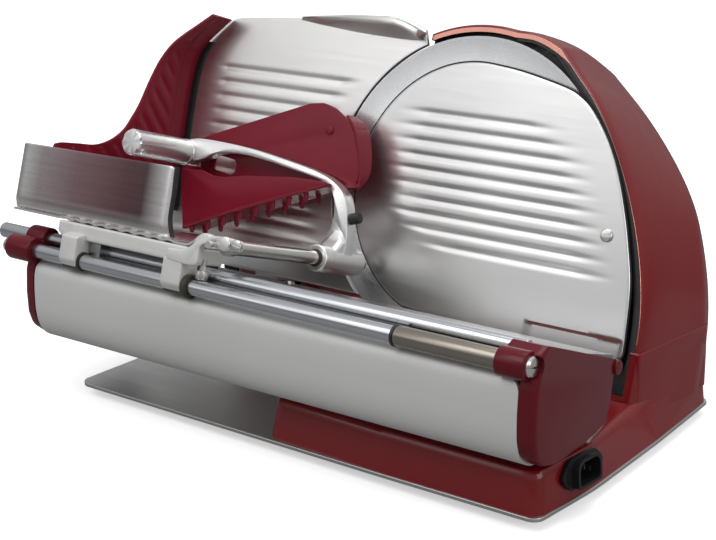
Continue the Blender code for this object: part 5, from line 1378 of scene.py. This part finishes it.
def even(loop, step):
    """Closed loop whose sides are divided into even steps; its own corners stay."""
    out = []
    count = len(loop)
    for i in range(count):
        a = Vector(loop[i])
        b = Vector(loop[(i + 1) % count])
        parts = max(int(math.ceil((b - a).length / step)), 1)
        for k in range(parts):
            q = a.lerp(b, k / parts)
            if not out or (Vector(out[-1]) - q).length > 0.15:
                out.append((q.x, q.y))
    return out


def skin(name, loop, centre, front, back, lip, rows, mat=None):
    """Plate in the blade plane with a shaped front and back face and a rounded front edge."""
    loop = even(loop, 1.6)
    rings = [[lean(x, back(x, n), n) for x, n in loop]]
    for k in range(5):
        a = math.pi / 2 * k / 4
        line = offset_loop(loop, -lip * (1.0 - math.cos(a)))
        rings.append([lean(x, front(x, n) + lip * (1.0 - math.sin(a)), n) for x, n in line])
    inner = offset_loop(loop, -lip)
    cx, cn = centre
    flat = []
    for k in range(1, rows):
        s = 1.0 - k / rows
        flat.append([(cx + (x - cx) * s, cn + (n - cn) * s) for x, n in inner])
    rings += [[lean(x, front(x, n), n) for x, n in ring_] for ring_ in flat]
    under = [[lean(x, back(x, n), n) for x, n in ring_] for ring_ in flat]
    count = len(loop)
    verts = [v for r in rings + under for v in r]
    faces = []
    for k in range(len(rings) - 1):
        faces += quads(k * count, (k + 1) * count, count)
    first = len(rings) * count
    for i in range(count):
        j = (i + 1) % count
        faces.append((j, i, first + i, first + j))
    for k in range(len(under) - 1):
        for i in range(count):
            j = (i + 1) % count
            a = first + k * count
            faces.append((a + j, a + i, a + count + i, a + count + j))
    tip = len(verts)
    verts += [lean(cx, front(cx, cn), cn), lean(cx, back(cx, cn), cn)]
    last = (len(rings) - 1) * count
    faces += [(last + i, last + (i + 1) % count, tip) for i in range(count)]
    last = first + (len(under) - 1) * count
    faces += [(last + (i + 1) % count, last + i, tip + 1) for i in range(count)]
    return add_mesh(name, verts, faces, mat, 40.0)


def ribbed(value):
    """Broad flat land with a soft groove below it, from a plain wave."""
    return value ** 2.2


def cover_wave(x, n):
    left = -92.0 + (n * n) / 420.0
    if n < -20.0:
        left += (-20.0 - n) * 1.6
    right = 134.0 - n * 0.42 - max(n - 40.0, 0.0) * 0.9
    return 0.62 * ribbed(rib_depth(x, n, RIB_FIRST, RIB_PITCH, RIB_COUNT, left, right, 40.0))


def gauge_wave(x, n):
    right = -math.sqrt(max(GAUGE_R ** 2 - n * n, 0.0)) - 8.0
    left = GAUGE_LEFT + 14.0
    return ribbed(rib_depth(x, n, GAUGE_RIB_FIRST, GAUGE_RIB_PITCH, GAUGE_RIB_COUNT, left, right, 24.0))


def build_cover():
    def front(x, n):
        step = ease((x - 77.0) / 7.0) * ease((-87.2 - n) / 2.2) * ease((163.0 - x) / 4.0)
        return cover_front(x) + cover_wave(x, n) + 2.2 * step

    skin("blade_cover", cover_loop(), (28.0, -12.0), front, lambda x, n: max(cover_front(x) + COVER_THICK,
            front(x, n) + 1.0), 1.1, 70)
    slab = MADE["blade_cover"]
    bore(slab, (3.2, -9.0, 6.0), COVER_AXIS, 20)
    screw = [(0.0, -6.2)] + eased(5.0, -6.2, -4.0, 1.1) + [(5.0, -4.25), (2.9, -4.25), (2.9, 8.0), (0.0, 8.0)]
    head = revolve("cover_screw", screw, COVER_AXIS, 24)
    x, n = COVER_SCREW
    notch(head, [(x - 6, n + 0.6), (x - 6, n - 0.6), (x + 6, n - 0.6), (x + 6, n + 0.6)], -8.0, -5.2, on_xn)


def build_gauge():
    skin("gauge_plate", gauge_loop(), (-285.0, 20.0), lambda x, n: GAUGE_T + 0.7 * gauge_wave(x, n), lambda x,
         n: GAUGE_T + GAUGE_THICK, 0.8, 70)
    slab = MADE["gauge_plate"]
    top = GAUGE_R + 6.0
    rows = [(-190.0, 0.0), (-170.0, 0.35), (-150.0, 0.62), (-132.0, 0.86), (-114.0, 1.0), (-98.0, 1.1),
            (-84.0, 1.16), (-74.0, 1.16), (-66.0, 1.1), (-61.0, 1.02)]
    rings = []
    for x, s in rows:
        drop = -10.6 - 6.2 * s
        tip = -8.4 if x < -88.0 else -8.4 - 8.0 * ((x + 88.0) / 27.0) ** 2
        high = -7.6 + 5.4 * s if x < -96.0 else -1.9 - 8.0 * ((x + 96.0) / 35.0) ** 2
        deep = 1.2 - 13.6 * s
        sec = [(2.6, drop), (1.0, drop + 0.3), (0.45 * deep + 0.4, drop * 0.7 + tip * 0.3), (deep, tip),
               (deep - 0.6, (tip + high) / 2), (deep, high - 0.6), (deep * 0.6, high + 0.1),
               (2.6, high - 0.5)]
        rings.append([lean(x, t, top + n) for t, n in sec])
    lip = loft("gauge_lip", rings)
    bevel(lip, 0.5, 2)
    join(slab, lip)


def corner_fall(d, r):
    """Fall of a face towards an edge rounded by r, at a distance d from that edge."""
    if d >= r:
        return 0.0
    return r - math.sqrt(max(r * r - (r - max(d, 0.0)) ** 2, 0.0))


def build_tray(front_metal):
    xs = [-300.0, -290.0, -278.0, -264.0, -254.0] + [-250.0 + 0.7 * k for k in range(181)] + [
        -121.0, -118.0, -116.0, -114.0, -112.0, -110.0, -108.0, -106.0, -104.5, -103.0]
    top = [(x, tray_floor_n(x)) for x in xs]
    low = [(x, tray_floor_n(x) - TRAY_THICK) for x in xs]
    tray = prism("table", top + low[::-1], -184.6, -5.5, on_xn)
    side = rounded([(-303.5, -21.4, 2), (-303.5, FLOOR_N - TRAY_THICK, 10), (-290.0, FLOOR_N - TRAY_THICK, 0),
                    (-290.0, FLOOR_N - 0.4, 0), (-301.1, FLOOR_N, 9), (-301.1, -21.4, 1)], 4)
    weld(tray, side, -180.0, -5.5, on_xn)
    floor = FLOOR_N - 0.6
    wall = rounded([(-303.5, -21.4, 5), (-303.5, floor, 12), (-133.6, floor, 5), (-137.8, -19.3, 4)], 6)

    def front(x, n):
        fall = corner_fall(x + 303.5, 9.0) + corner_fall(-133.6 - x, 9.0) + corner_fall(n - floor, 11.0)
        return -184.9 + min(fall, 9.0) * 0.55

    skin("table_front", wall, (-221.0, -46.0), front, lambda x, n: front(x, n) + 1.8, 0.6, 40,
         mat=front_metal)
    line = smooth_line([(-137.2, -19.6), (-136.0, -34.0), (-136.0, -48.0), (-135.2, -60.0),
                        (-130.4, FLOOR_N + 1.6)], 3)
    seal = line + offset_line(line, -1.6)[::-1]
    prism("wall_gasket", seal, -184.2, -180.4, on_xn)


def build_carriage():
    under = FLOOR_N - TRAY_THICK - 0.42
    t0, t1 = -189.0, -150.0
    block = [(-243.0, under, 1), (-104.0, under, 1), (-104.0, -88.0, 2), (-238.0, -88.0, 3),
             (-243.0, -84.0, 3)]
    body = soft_prism("carriage_casting", block, t0, t1, on_xn, 1.6)
    for k, (x0, x1) in enumerate((FOOT_1, FOOT_2)):
        leg = [(-198.4, -86.0, 2), (-198.0, -104.5, 4), (-192.0, -110.6, 6), (-183.0, -110.4, 5),
               (-180.0, -106.0, 4), (-179.5, -87.0, 1), (-190.0, -83.0, 1)]
        join(body, soft_prism("carriage_leg_%d" % k, leg, x0, x1, on_tn, 1.2, 4))
    slab = [(-232.0, under), (-150.0, under), (-150.0, -82.5), (-232.0, -82.5)]
    weld(body, slab, t1 - 1.0, -96.0, on_xn)
    top = smooth_line([(-118.0, -78.6), (-104.4, -77.6), (-95.4, -73.0), (-92.2, -67.6), (-88.0, -63.6),
                       (-84.0, -62.6), (-79.8, -63.8), (-78.6, -66.6), (-80.6, -69.6), (-84.6, -71.0),
                       (-87.4, -74.0), (-87.6, -80.0), (-88.0, -85.4), (-92.0, -87.6), (-104.0, -87.8),
                       (-118.0, -86.6)], 2)
    hook = prism("carriage_hook", top, LUG_T[0], -192.0, on_xn)
    bevel(hook, 1.0, 3)
    join(body, hook)
    plate = [(-89.0, -73.6, 2), (-55.0, -71.6, 3), (-54.4, -63.8, 3), (-70.0, -62.6, 4), (-84.0, -63.8, 2)]
    join(body, soft_prism("carriage_lug", plate, -192.6, -188.6, on_xn, 0.8))
    bore(body, (7.52, -260.0, -90.0), BAR_AXIS, 32)
    bore(body, (STUD_R + SEAT, -205.0, -178.0), SHAFT_AXIS, 28)
    for i, (x0, x1) in enumerate((FOOT_1, FOOT_2)):
        profile = ring(BAR_R + 0.04, 7.5, x0 + 0.5, x1 + 0.9)
        if i == 1:
            profile = [(BAR_R + 0.04, x0 + 0.5), (7.5, x0 + 0.5), (7.5, x1 + 0.1)]
            profile += eased(BUSH_R + 0.4, x1 + 0.1, x1 + 4.0, 0.6)
            profile += eased(BUSH_R + 0.4, x1 + 4.4, x1, 0.9)[::-1]
            profile += [(BAR_R + 0.04, x1 + 4.4)]
        revolve("bar_bush_%d" % (i + 1), profile, BAR_AXIS, 32)
    shoe = [(-232.0, DECK_N + GAP), (-150.0, DECK_N + GAP), (-150.0, -82.8), (-232.0, -82.8)]
    prism("slide_shoe", shoe, -113.0, -99.0, on_xn)
    knurl = [(0.0, -97.6)] + eased(4.7, -97.6, -94.0, 0.8) + eased(4.7, -91.0, -94.0, 0.8)[::-1]
    knurl += [(2.2, -90.6), (2.2, -82.0), (0.0, -82.0)]
    nut = revolve("thumb_screw", knurl, THUMB_AXIS, 20)
    for a in turns(24):
        notch(nut, [(4.45 * math.cos(a), 4.45 * math.sin(a)),
                    (4.95 * math.cos(a + 0.07), 4.95 * math.sin(a + 0.07)),
                    (4.95 * math.cos(a - 0.07), 4.95 * math.sin(a - 0.07))], -98.4, -90.8, THUMB_AXIS)
    bore(body, (2.23, -95.0, -81.5), THUMB_AXIS, 20)
    bore(body, (5.1, -98.4, -90.3), THUMB_AXIS, 20)


def guard_line():
    return smooth_line([(-298.4, -58.0), (-298.5, -20.0), (-299.4, 10.0), (-300.2, 40.0), (-300.0, 60.0),
                        (-298.8, 74.0), (-295.2, 86.0), (-287.0, 97.0), (-274.0, 109.6), (-266.0, 116.6)], 3)


def build_guard():
    """Curved sheet with slanted ribs in its front face and a fold along its gauge side."""
    near = [(-62.0, -160.0), (-24.0, -156.0), (-17.0, -151.0), (-14.6, -130.0), (-12.7, -108.0),
            (-6.0, -91.0), (4.0, -78.0), (16.0, -70.0), (29.0, -63.0), (48.0, -56.0), (66.0, -49.0),
            (84.0, -40.5), (104.0, -31.0), (120.0, -26.0)]
    line = guard_line()
    ts = [-176.0 + 174.8 * k / 150.0 for k in range(151)]
    normals = []
    for i in range(len(line)):
        a = Vector(line[max(i - 1, 0)])
        b = Vector(line[min(i + 1, len(line) - 1)])
        d = (b - a).normalized()
        normals.append((d.y, -d.x))
    verts = []
    for i, (x, n) in enumerate(line):
        for t in ts:
            k = (n + 0.9 * t) / 17.0
            edge = np.interp(n, [p[0] for p in near], [p[1] for p in near])
            fade = unit((t - edge - 5.0) / 8.0) * unit((-22.0 - t) / 8.0)
            wave = 1.1 * fade * (0.5 + 0.5 * math.cos(2.0 * math.pi * k)) ** 2
            fold = 1.1 * ease((t + 22.0) / 4.0)
            off = 2.2 - wave - fold
            verts.append(lean(x + normals[i][0] * off, t, n + normals[i][1] * off))
    half = len(verts)
    cols = len(ts)
    for x, n in line:
        verts += [lean(x, t, n) for t in ts]
    faces = []
    rows = len(line)
    for i in range(rows - 1):
        for j in range(cols - 1):
            a = i * cols + j
            faces.append((a, a + 1, a + cols + 1, a + cols))
            faces.append((half + a, half + a + cols, half + a + cols + 1, half + a + 1))
        faces.append((i * cols, (i + 1) * cols, half + (i + 1) * cols, half + i * cols))
        faces.append((i * cols + cols - 1, half + i * cols + cols - 1, half + (i + 1) * cols + cols - 1,
                      (i + 1) * cols + cols - 1))
    for j in range(cols - 1):
        faces.append((j, half + j, half + j + 1, j + 1))
        a = (rows - 1) * cols + j
        faces.append((a, a + 1, half + a + 1, half + a))
    sheet = add_mesh("hand_guard", verts, faces)
    shape = [(-200.0, 130.0), (-26.0, 130.0)] + [(t, n) for n, t in smooth_line(near[::-1], 2)]
    shape.append((-200.0, -62.0))
    notch(sheet, shape, -320.0, -240.0, on_tn)


def build_pusher():
    inner = SHAFT_R + SLEEVE_WALL
    revolve("pusher_bush", ring(SHAFT_R + 0.04, inner, HUB_T0 - 1.0, HUB_T1 + 1.0), SHAFT_AXIS, 28)
    outer = smooth_line([(-250, 6.0), (-237.6, 8.0), (-211.7, 8.0), (-182.1, 6.4), (-158.6, 3.9),
                         (-137.9, 1.2), (-117.2, -1.9), (-102.0, -5.4), (-90.6, -10.0), (-81.6, -16.4),
                         (-75.8, -25.5), (-72.2, -38.1), (-70.0, -52.6), (-69.4, -66.0)], 2)
    inner_side = smooth_line([(-92.0, -66.0), (-94.9, -61.6), (-90.9, -55.2), (-87.6, -47.6), (-86.2, -38.1),
                              (-87.2, -27.3), (-90.4, -19.6), (-95.8, -13.7), (-104.9, -9.6), (-116, -7.5),
                              (-136.6, -4.5), (-161.7, -1.4), (-182.7, 0.4), (-203.8, 0.4), (-220.2, -2.2),
                              (-230.1, -7.5), (-240.0, -11.0), (-250.0, -11.0)], 2)
    arm = prism("pusher_arm", outer + inner_side, ARM_T0, ARM_T1, on_xn)
    bevel(arm, 2.4, 5, 40.0)
    keys = ((-40.0, -84.6, -73.4, -44.0, -36.0), (-48.0, -86.6, -71.6, -46.4, -33.6),
            (-54.0, -88.8, -70.8, -49.6, -30.8), (-59.0, -90.2, -70.6, -54.6, -26.4),
            (-64.0, -90.0, -70.2, -60.0, -21.0), (-70.0, -88.4, -70.0, -66.0, -18.0))
    rings = []
    for n in [-40.0 - 1.5 * k for k in range(21)]:
        x0, x1, ta, tb = [float(np.interp(-n, [-q[0] for q in keys], [q[j] for q in keys]))
                          for j in (1, 2, 3, 4)]
        corners = [(x0, ta, 5), (x1, ta, 5), (x1, tb, 5), (x0, tb, 5)]
        rings.append([lean(x, t, n) for x, t in rounded(corners, 5)])
    join(arm, loft("pusher_arm_saddle", rings))
    boss(arm, (11.0, HUB_T0, HUB_T1, 1.4), SHAFT_AXIS, 28)
    collar = [(0.0, -49.0)] + eased(GRIP_R + 0.4, -49.0, -45.0, 1.2)
    collar += [(GRIP_R + 0.4, -44.6), (GRIP_R - 0.2, -44.0), (GRIP_R + 0.7, -43.2)]
    collar += eased(GRIP_R + 0.7, -35.0, -40.0, 1.6)[::-1] + [(0.0, -35.0)]
    join(arm, revolve("pusher_arm_collar", collar, GRIP_AXIS, 28))
    bore(arm, (inner + TURN_GAP, HUB_T0 - 3.0, HUB_T1 + 3.0), SHAFT_AXIS, 28)
    grip = revolve("pusher_grip", disc(GRIP_R, -114.0, -49.3, 1.0), GRIP_AXIS, 32)
    for i in range(7):
        a = math.radians(360.0 * i / 7 + 12.0)
        u = (GRIP_R + 1.0) * math.cos(a)
        v = (GRIP_R + 1.0) * math.sin(a)
        bore(grip, (2.9, -117.0, -112.6), about_t(GRIP_X + u, GRIP_N + v), 12)
    low = math.radians(-38.0)
    u, v = (GRIP_R + 1.2) * math.cos(low), (GRIP_R + 1.2) * math.sin(low)
    bore(grip, (3.4, -117.0, -106.0, 1.5), about_t(GRIP_X + u, GRIP_N + v), 14)
    revolve("pusher_bumper", disc(4.6, -6.0, 11.0, 1.0), bumper_place, 20)
    bore(arm, (4.64, -6.4, 20.0), bumper_place, 20)
    build_plate()
    red_head = [(0.0, -31.0)] + eased(3.8, -31.0, -29.6, 1.2)
    red_head += [(3.8, -29.42), (1.5, -29.42), (1.5, -25.0), (0.0, -25.0)]
    revolve("plate_screw", red_head, PLATE_SCREW_AXIS, 16)


def build_plate():
    front = [(-234.5, -70.0, 0), (-208.0, -58.6, 60), (-163.1, -40.6, 60), (-125.9, -26.4, 60),
             (-91.0, -13.6, 1), (-94.0, -10.2, 3), (-129, -11.0, 30), (-154, -14.0, 30), (-176, -16.4, 20),
             (-200.5, -21.0, 14), (-212, -21.2, 10), (-223, -18.4, 12), (-236, -19.4, 10), (-248.3, -19.0, 2)]
    plate = soft_prism("pusher_plate", front, -54.0, -51.6, on_xn, 0.7, 4)
    wing = [(-234.5, -70.0, 0), (-208.0, -58.6, 60), (-163.1, -40.6, 60), (-125.9, -26.4, 60),
            (-84.0, -12.0, 3), (-81.0, -5.0, 5), (-81.4, 2.5, 20), (-85.4, 16, 20), (-92.0, 31, 20),
            (-101.0, 43.0, 16), (-115, 50.6, 20), (-128, 53.6, 14), (-142, 51.6, 20), (-199, 29.8, 200),
            (-254, 8.6, 4)]
    join(plate, soft_prism("pusher_plate_wing", wing, -29.4, -27.0, on_xn, 0.9, 5))
    floor = [(-234.45, -69.95), (-208.0, -58.6), (-163.1, -40.6), (-125.9, -26.4), (-90.0, -12.6),
             (-78.0, -9.6), (-78.8, -7.4), (-91.0, -10.2), (-126.6, -23.8), (-164.0, -38.0), (-207.0, -55.6),
             (-230.0, -65.2), (-243.4, -16.0), (-246.9, -17.5)]
    weld(plate, floor, -52.9, -28.1, on_xn)
    line = smooth_line([(-82.4, -11.0), (-80.9, -5.0), (-81.4, 2.5), (-85.4, 16), (-92.0, 31), (-98.0, 39.5),
                        (-104.0, 45.0)], 2)
    far = smooth_line([(-27.4, 0.0), (-25.0, 0.06), (-20.0, 0.2), (-13.5, 0.42), (-8.4, 0.72), (-9.0, 0.86),
                       (-16.0, 1.0)], 3)
    inside = offset_line(line, 2.0)
    shares = [v for t, v in far]
    reach = [np.interp(k / (len(line) - 1), shares, [t for t, v in far]) for k in range(len(line))]
    rings = []
    for (x0, n0), (x1, n1), t in zip(line, inside, reach):
        rings.append([lean(x0, -28.6, n0), lean(x0 - 0.4, t, n0), lean(x1, t, n1), lean(x1, -28.6, n1)])
    join(plate, loft("pusher_plate_flange", rings))
    path = [(-234.5, -68.4), (-221.0, -62.6), (-208.0, -57.0), (-185.0, -47.6), (-163.1, -39.0),
            (-144.0, -31.6), (-125.9, -24.8), (-108.0, -18.2), (-92.6, -12.6)]
    swell = ((0.0, 0.3), (0.015, 2.0), (0.03, 2.5), (0.05, 2.1), (0.08, 1.5), (0.9, 1.25), (0.97, 1.0),
             (1.0, 0.2))
    fine = smooth_line(path, 3)
    rim = []
    for k, (x, n) in enumerate(fine):
        s = k / (len(fine) - 1)
        r = np.interp(s, [p[0] for p in swell], [p[1] for p in swell])
        rim.append([lean(x - 0.37 * r * math.cos(a), -53.8 + r * math.sin(a), n + 0.93 * r * math.cos(a))
                    for a in turns(16)])
    join(plate, loft("pusher_plate_rim", rim))
    for t in (-48.7, -31.4):
        for i in range(8 if t < -40.0 else 9):
            x = -229.0 + 16.2 * i
            top = float(np.interp(x, (-234.5, -208.0, -163.1, -125.9, -90.0),
                                  (-69.0, -57.6, -39.6, -25.4, -12.0))) + 0.8
            reach = min(8.4, top - SPIKE_LOW)
            rows = ((2.7, -0.3), (2.5, 0.1), (2.2, 0.35), (2.1, 0.6), (1.9, 0.8), (1.3, 0.94), (0.6, 0.99),
                    (0.1, 1.0))
            rings = []
            for r, share in rows:
                rings.append([lean(x + 0.2 * share * reach + r * math.cos(a), t + r * math.sin(a),
                                   top - share * reach) for a in turns(14)])
            join(plate, loft("pusher_spike", rings))
    slot = [(-99.0, -40.0), (-60.0, -40.0), (-60.0, 4.0), (-92.0, -3.0)]
    notch(plate, slot, -60.0, ARM_T1 + 0.6, on_xn)
    hole = rounded([(-233.5, -2.5, 5), (-207.6, -5.2, 5), (-209.4, -18.3, 5), (-233.0, -15.6, 5)], 3)
    notch(plate, hole, -33.0, -20.0, on_xn)
    bore(plate, (1.6, -33.0, -20.0), PLATE_SCREW_AXIS, 16)
    bore(plate, (GRIP_R + 1.2, -60.0, -31.0), GRIP_AXIS, 28)


NODE_LOOK = (("blade", "blade", 0.0), ("blade_spindle", "steel", 0.3), ("motor_pulley", "steel", 0.3),
             ("table", "table", 0.3), ("wall_gasket", "rubber", 0.2), ("carriage_casting", "cast", 0.3),
             ("bar_bush_1", "bush", 0.2), ("bar_bush_2", "bush", 0.2), ("slide_shoe", "bush", 0.4),
             ("pusher_shaft", "steel", 0.3), ("hand_guard", "burgundy", 0.3), ("thumb_screw", "steel", 0.0),
             ("pusher_bush", "bush", 0.2), ("pusher_arm", "polish", 0.25), ("pusher_grip", "polish", 0.25),
             ("pusher_bumper", "rubber", 0.0), ("pusher_plate", "burgundy", 0.25),
             ("plate_screw", "burgundy", 0.0), ("gauge_plate", "gauge", 0.0), ("gauge_carrier", "cast", 0.5),
             ("gauge_knob", "black", 0.5), ("knob_shaft", "steel", 0.3), ("thickness_cam", "steel", 0.3),
             ("start_button", "green", 0.4), ("stop_button", "stop", 0.4), ("housing", "red", 0.35),
             ("inlet", "black", 0.3), ("base_plate", "plate", 0.6), ("foot_1", "rubber", 0.3),
             ("foot_2", "rubber", 0.3), ("foot_3", "rubber", 0.3), ("foot_4", "rubber", 0.3),
             ("bearing_1", "steel", 0.0), ("bearing_2", "steel", 0.0), ("bearing_carrier", "cast", 0.4),
             ("motor", "motor", 0.4), ("motor_bracket", "steel", 0.4), ("drive_belt", "rubber", 0.0),
             ("blade_cover", "cover", 0.0), ("cover_screw", "steel", 0.0), ("rim_seal", "rubber", 0.0),
             ("gauge_rod", "steel", 0.0), ("gauge_bracket", "cast", 0.5), ("switch_body", "black", 0.4),
             ("right_cap", "cap", 0.5), ("left_cap", "cap", 0.5), ("front_panel", "satin", 0.25),
             ("deck_plate", "deck", 0.25), ("deck_screw_1", "steel", 0.1), ("deck_screw_2", "steel", 0.1),
             ("deck_screw_3", "steel", 0.1), ("rail_beam", "cast", 0.5), ("front_bar", "chrome", 0.0),
             ("bar_sleeve", "sleeve", 0.1), ("stop_ring", "rubber", 0.0), ("bar_screw", "steel", 0.2),
             ("rear_rod", "chrome", 0.0))


def build_pieces(m):
    build_housing()
    build_inlet()
    build_base()
    build_blade()
    build_cover()
    build_seal()
    build_gauge()
    build_gauge_carrier()
    build_gauge_guide()
    build_controls()
    build_caps()
    build_rails()
    build_tray(m["tray_front"])
    build_carriage()
    build_shaft()
    build_guard()
    build_pusher()
    for node, key, width in NODE_LOOK:
        dress(node, m[key], width)
    build_details(m)


def inside(point, loop):
    x, y = point
    hit = False
    for (x0, y0), (x1, y1) in zip(loop, loop[1:] + loop[:1]):
        if (y0 > y) != (y1 > y) and x < x0 + (y - y0) * (x1 - x0) / (y1 - y0):
            hit = not hit
    return hit


def paint_recess_shade(dark):
    """Painted shade: the wall behind the blade and the inner side of the rim, in the recess, take the black
    rubber material.
    """
    body = MADE["housing"]
    body.data.materials.append(dark)
    middle = lean(0.0, 0.0, 0.0)
    t_axis = (lean(0.0, 1.0, 0.0) - middle) / MM
    n_axis = (lean(0.0, 0.0, 1.0) - middle) / MM
    line = offset_line(rim_outer(), RIM_BAND - 0.5)
    loop = [(-60.0, -112.0), (-118.0, -40.0), (-118.0, 60.0)] + line + [(line[-1][0], -118.0)]
    low = level(0.0, 0.0, BASE_TOP + 2.0).z
    for poly in body.data.polygons:
        offset = (poly.center - middle) / MM
        t = offset.dot(t_axis)
        if -0.6 < t < 12.0 and poly.center.z > low and inside((offset.x, offset.dot(n_axis)), loop):
            poly.material_index = 1


def build_lip_highlight(look):
    """Copper metallic strip on the front lip of the rim, a painted highlight for the bright light the lip
    catches: wide over the crown, narrow down the flank.
    """
    line = rim_outer()
    corner = max(range(len(line)), key=lambda i: line[i][0] * 0.5 + line[i][1] * 0.886 if line[i][0] > 0.0
                 else -1.0)
    outer, front = offset_line(line, 2.0), offset_line(line, 2.5)
    inward = [offset_line(line, 2.2 + 0.1 * k) for k in range(40)]
    rings = []
    for i in range(len(line) - 2):
        width = 6.1 - 3.9 * ease((i - corner) / 6.0)
        inner = inward[min(max(int(round((width - 2.2) / 0.1)), 4), 39)][i]
        rows = ((outer[i], 0.5), (front[i], -0.12), (inner, -0.12), (inner, 0.3))
        rings.append([lean(x, t, n) for (x, n), t in rows])
    extra(loft("rim_lip", rings, mat=look, sharp=40.0), "housing")


def build_details(m):
    paint_recess_shade(m["rubber"])
    build_lip_highlight(m["lip"])
    # Painted shade: a thin black strip along the guard's gauge side stands in for the shaded gap between
    # guard and gauge plate.
    edge = [(x, n) for x, n in guard_line() if n < 96.0]
    strip = edge + [(x + 6.4, n) for x, n in edge[::-1]]
    extra(prism("guard_shade_strip", strip, -1.1, -0.1, on_xn, mat=m["rubber"]), "hand_guard")
    front = MADE["table_front"]
    resharp(front, 40.0)
    extra(front, "table")
    # Painted shade: a thin black band behind the cover's edge, showing just outside it, stands in for the
    # shaded gap between cover and blade.
    seam = even(offset_loop(cover_loop(), 0.1), 1.6)
    wide = offset_loop(seam, 1.0)
    thin = offset_loop(seam, -1.6)
    rows = ((wide, 0.9), (wide, 2.0), (thin, 2.0), (thin, 1.5))
    loops = [[lean(x, cover_front(x) + drop, n) for x, n in line] for line, drop in rows]
    extra(band("cover_shade_ring", loops, m["rubber"]), "blade_cover")
    place = about_t(-68.0, -67.6)
    end = revolve("shaft_end", disc(5.4, -196.4, -192.0, 1.0), place, 24, mat=m["polish"])
    extra(end, "pusher_shaft")
    place = about_t(-57.3, -67.2)
    head = revolve("shaft_lock_screw", disc(4.4, -195.8, -192.0, 0.9), place, 24, mat=m["steel"])
    notch(head, [(-62.0, -66.0), (-62.2, -67.0), (-52.6, -68.6), (-52.4, -67.4)], -197.0, -194.6, on_xn)
    resharp(head)
    extra(head, "pusher_shaft")
    nut = [(6.2 * math.cos(math.radians(60 * k + 12)), 6.2 * math.sin(math.radians(60 * k + 12)))
           for k in range(6)]
    nut = soft_prism("shaft_nut", [(u, v, 0.6) for u, v in nut], -12.0, -6.6, SHAFT_AXIS, 0.5, mat=m["steel"])
    extra(nut, "pusher_shaft")
    block = [(-210.6, -88.0, 1), (-199.0, -88.0, 1), (-199.0, -99.0, 1), (-210.6, -99.0, 1)]
    block = soft_prism("slide_block", block, -184.0, -176.6, on_xn, 0.6, mat=m["deck"])
    extra(block, "carriage_casting")


def cap_loop(rise=0.0):
    top = [level_from_group(-176.0 - 0.4 * rise, -97.0 + rise), level_from_group(-61.0, -97.0)]
    low = [(-91.5, 0.4274, 20), (-95, 0.6766, 20), (-101, 0.86, 8), (-116, 0.9, 8), (-138, 0.915, 20),
           (-165, 0.915, 20), (-184, 0.895, 14), (-200, 0.84, 14), (-210.5, 0.72, 14), (-214.6, 0.56, 12),
           (-215.4, 0.3134, 20), (-214.2, 0.057, 10)]
    return rounded([skirt(-210.4, -0.0855) + (0,), (top[0][0] - 14.0 + 0.4 * rise, top[0][1]
                                                    + 2.0 - 0.8 * rise, 4), top[0] + (3,), top[1] + (2,)]
                   + [skirt(y, share) + (r,) for y, share, r in low], 2)


def build_caps():
    loop = cap_loop(7.6)
    x0, x1 = CAP_X0, CAP_X1
    rings = [cap_ring(loop, x, g) for x, g in ((x0, 0.0), (x1 - 4.6, 0.0), (x1 - 3.0, 0.35), (x1 - 1.6, 1.1),
                                              (x1 - 0.7, 2.2), (x1 - 0.2, 3.6), (x1, 5.4))]
    right = loft("right_cap", rings)
    finish_cap(right, x1, 168.6, 190.5, True)
    loop = cap_loop()
    a0, a1 = LEFT_CAP_X0, LEFT_CAP_X1
    rings = [cap_ring(loop, x, g) for x, g in ((a0, 6.0), (a0 + 0.5, 4.2), (a0 + 1.5, 2.8), (a0 + 2.8, 1.6),
                                               (a0 + 4.0, 0.8), (a0 + 6.0, 0.0), (a1, 0.0))]
    left = loft("left_cap", rings)
    finish_cap(left, a1, -289.0, PANEL_X[0] - GAP, False)


def clip_to_box():
    """The finer arcs of a corner reach a hair past the frame's box; their points go back onto it."""
    for obj in [MADE[row[0]] for row in NODE_LOOK]:
        for vert in obj.data.vertices:
            for i in range(3):
                vert.co[i] = min(max(vert.co[i], CAD_BOX[0][i]), CAD_BOX[1][i])


# Scene --------------------------------------------------------------------------

def main():
    build_camera()
    build_lights()
    m = make_materials()
    build_floor(m)
    build_pieces(m)
    bpy.context.scene.view_settings.view_transform = 'Standard'
    clip_to_box()


main()
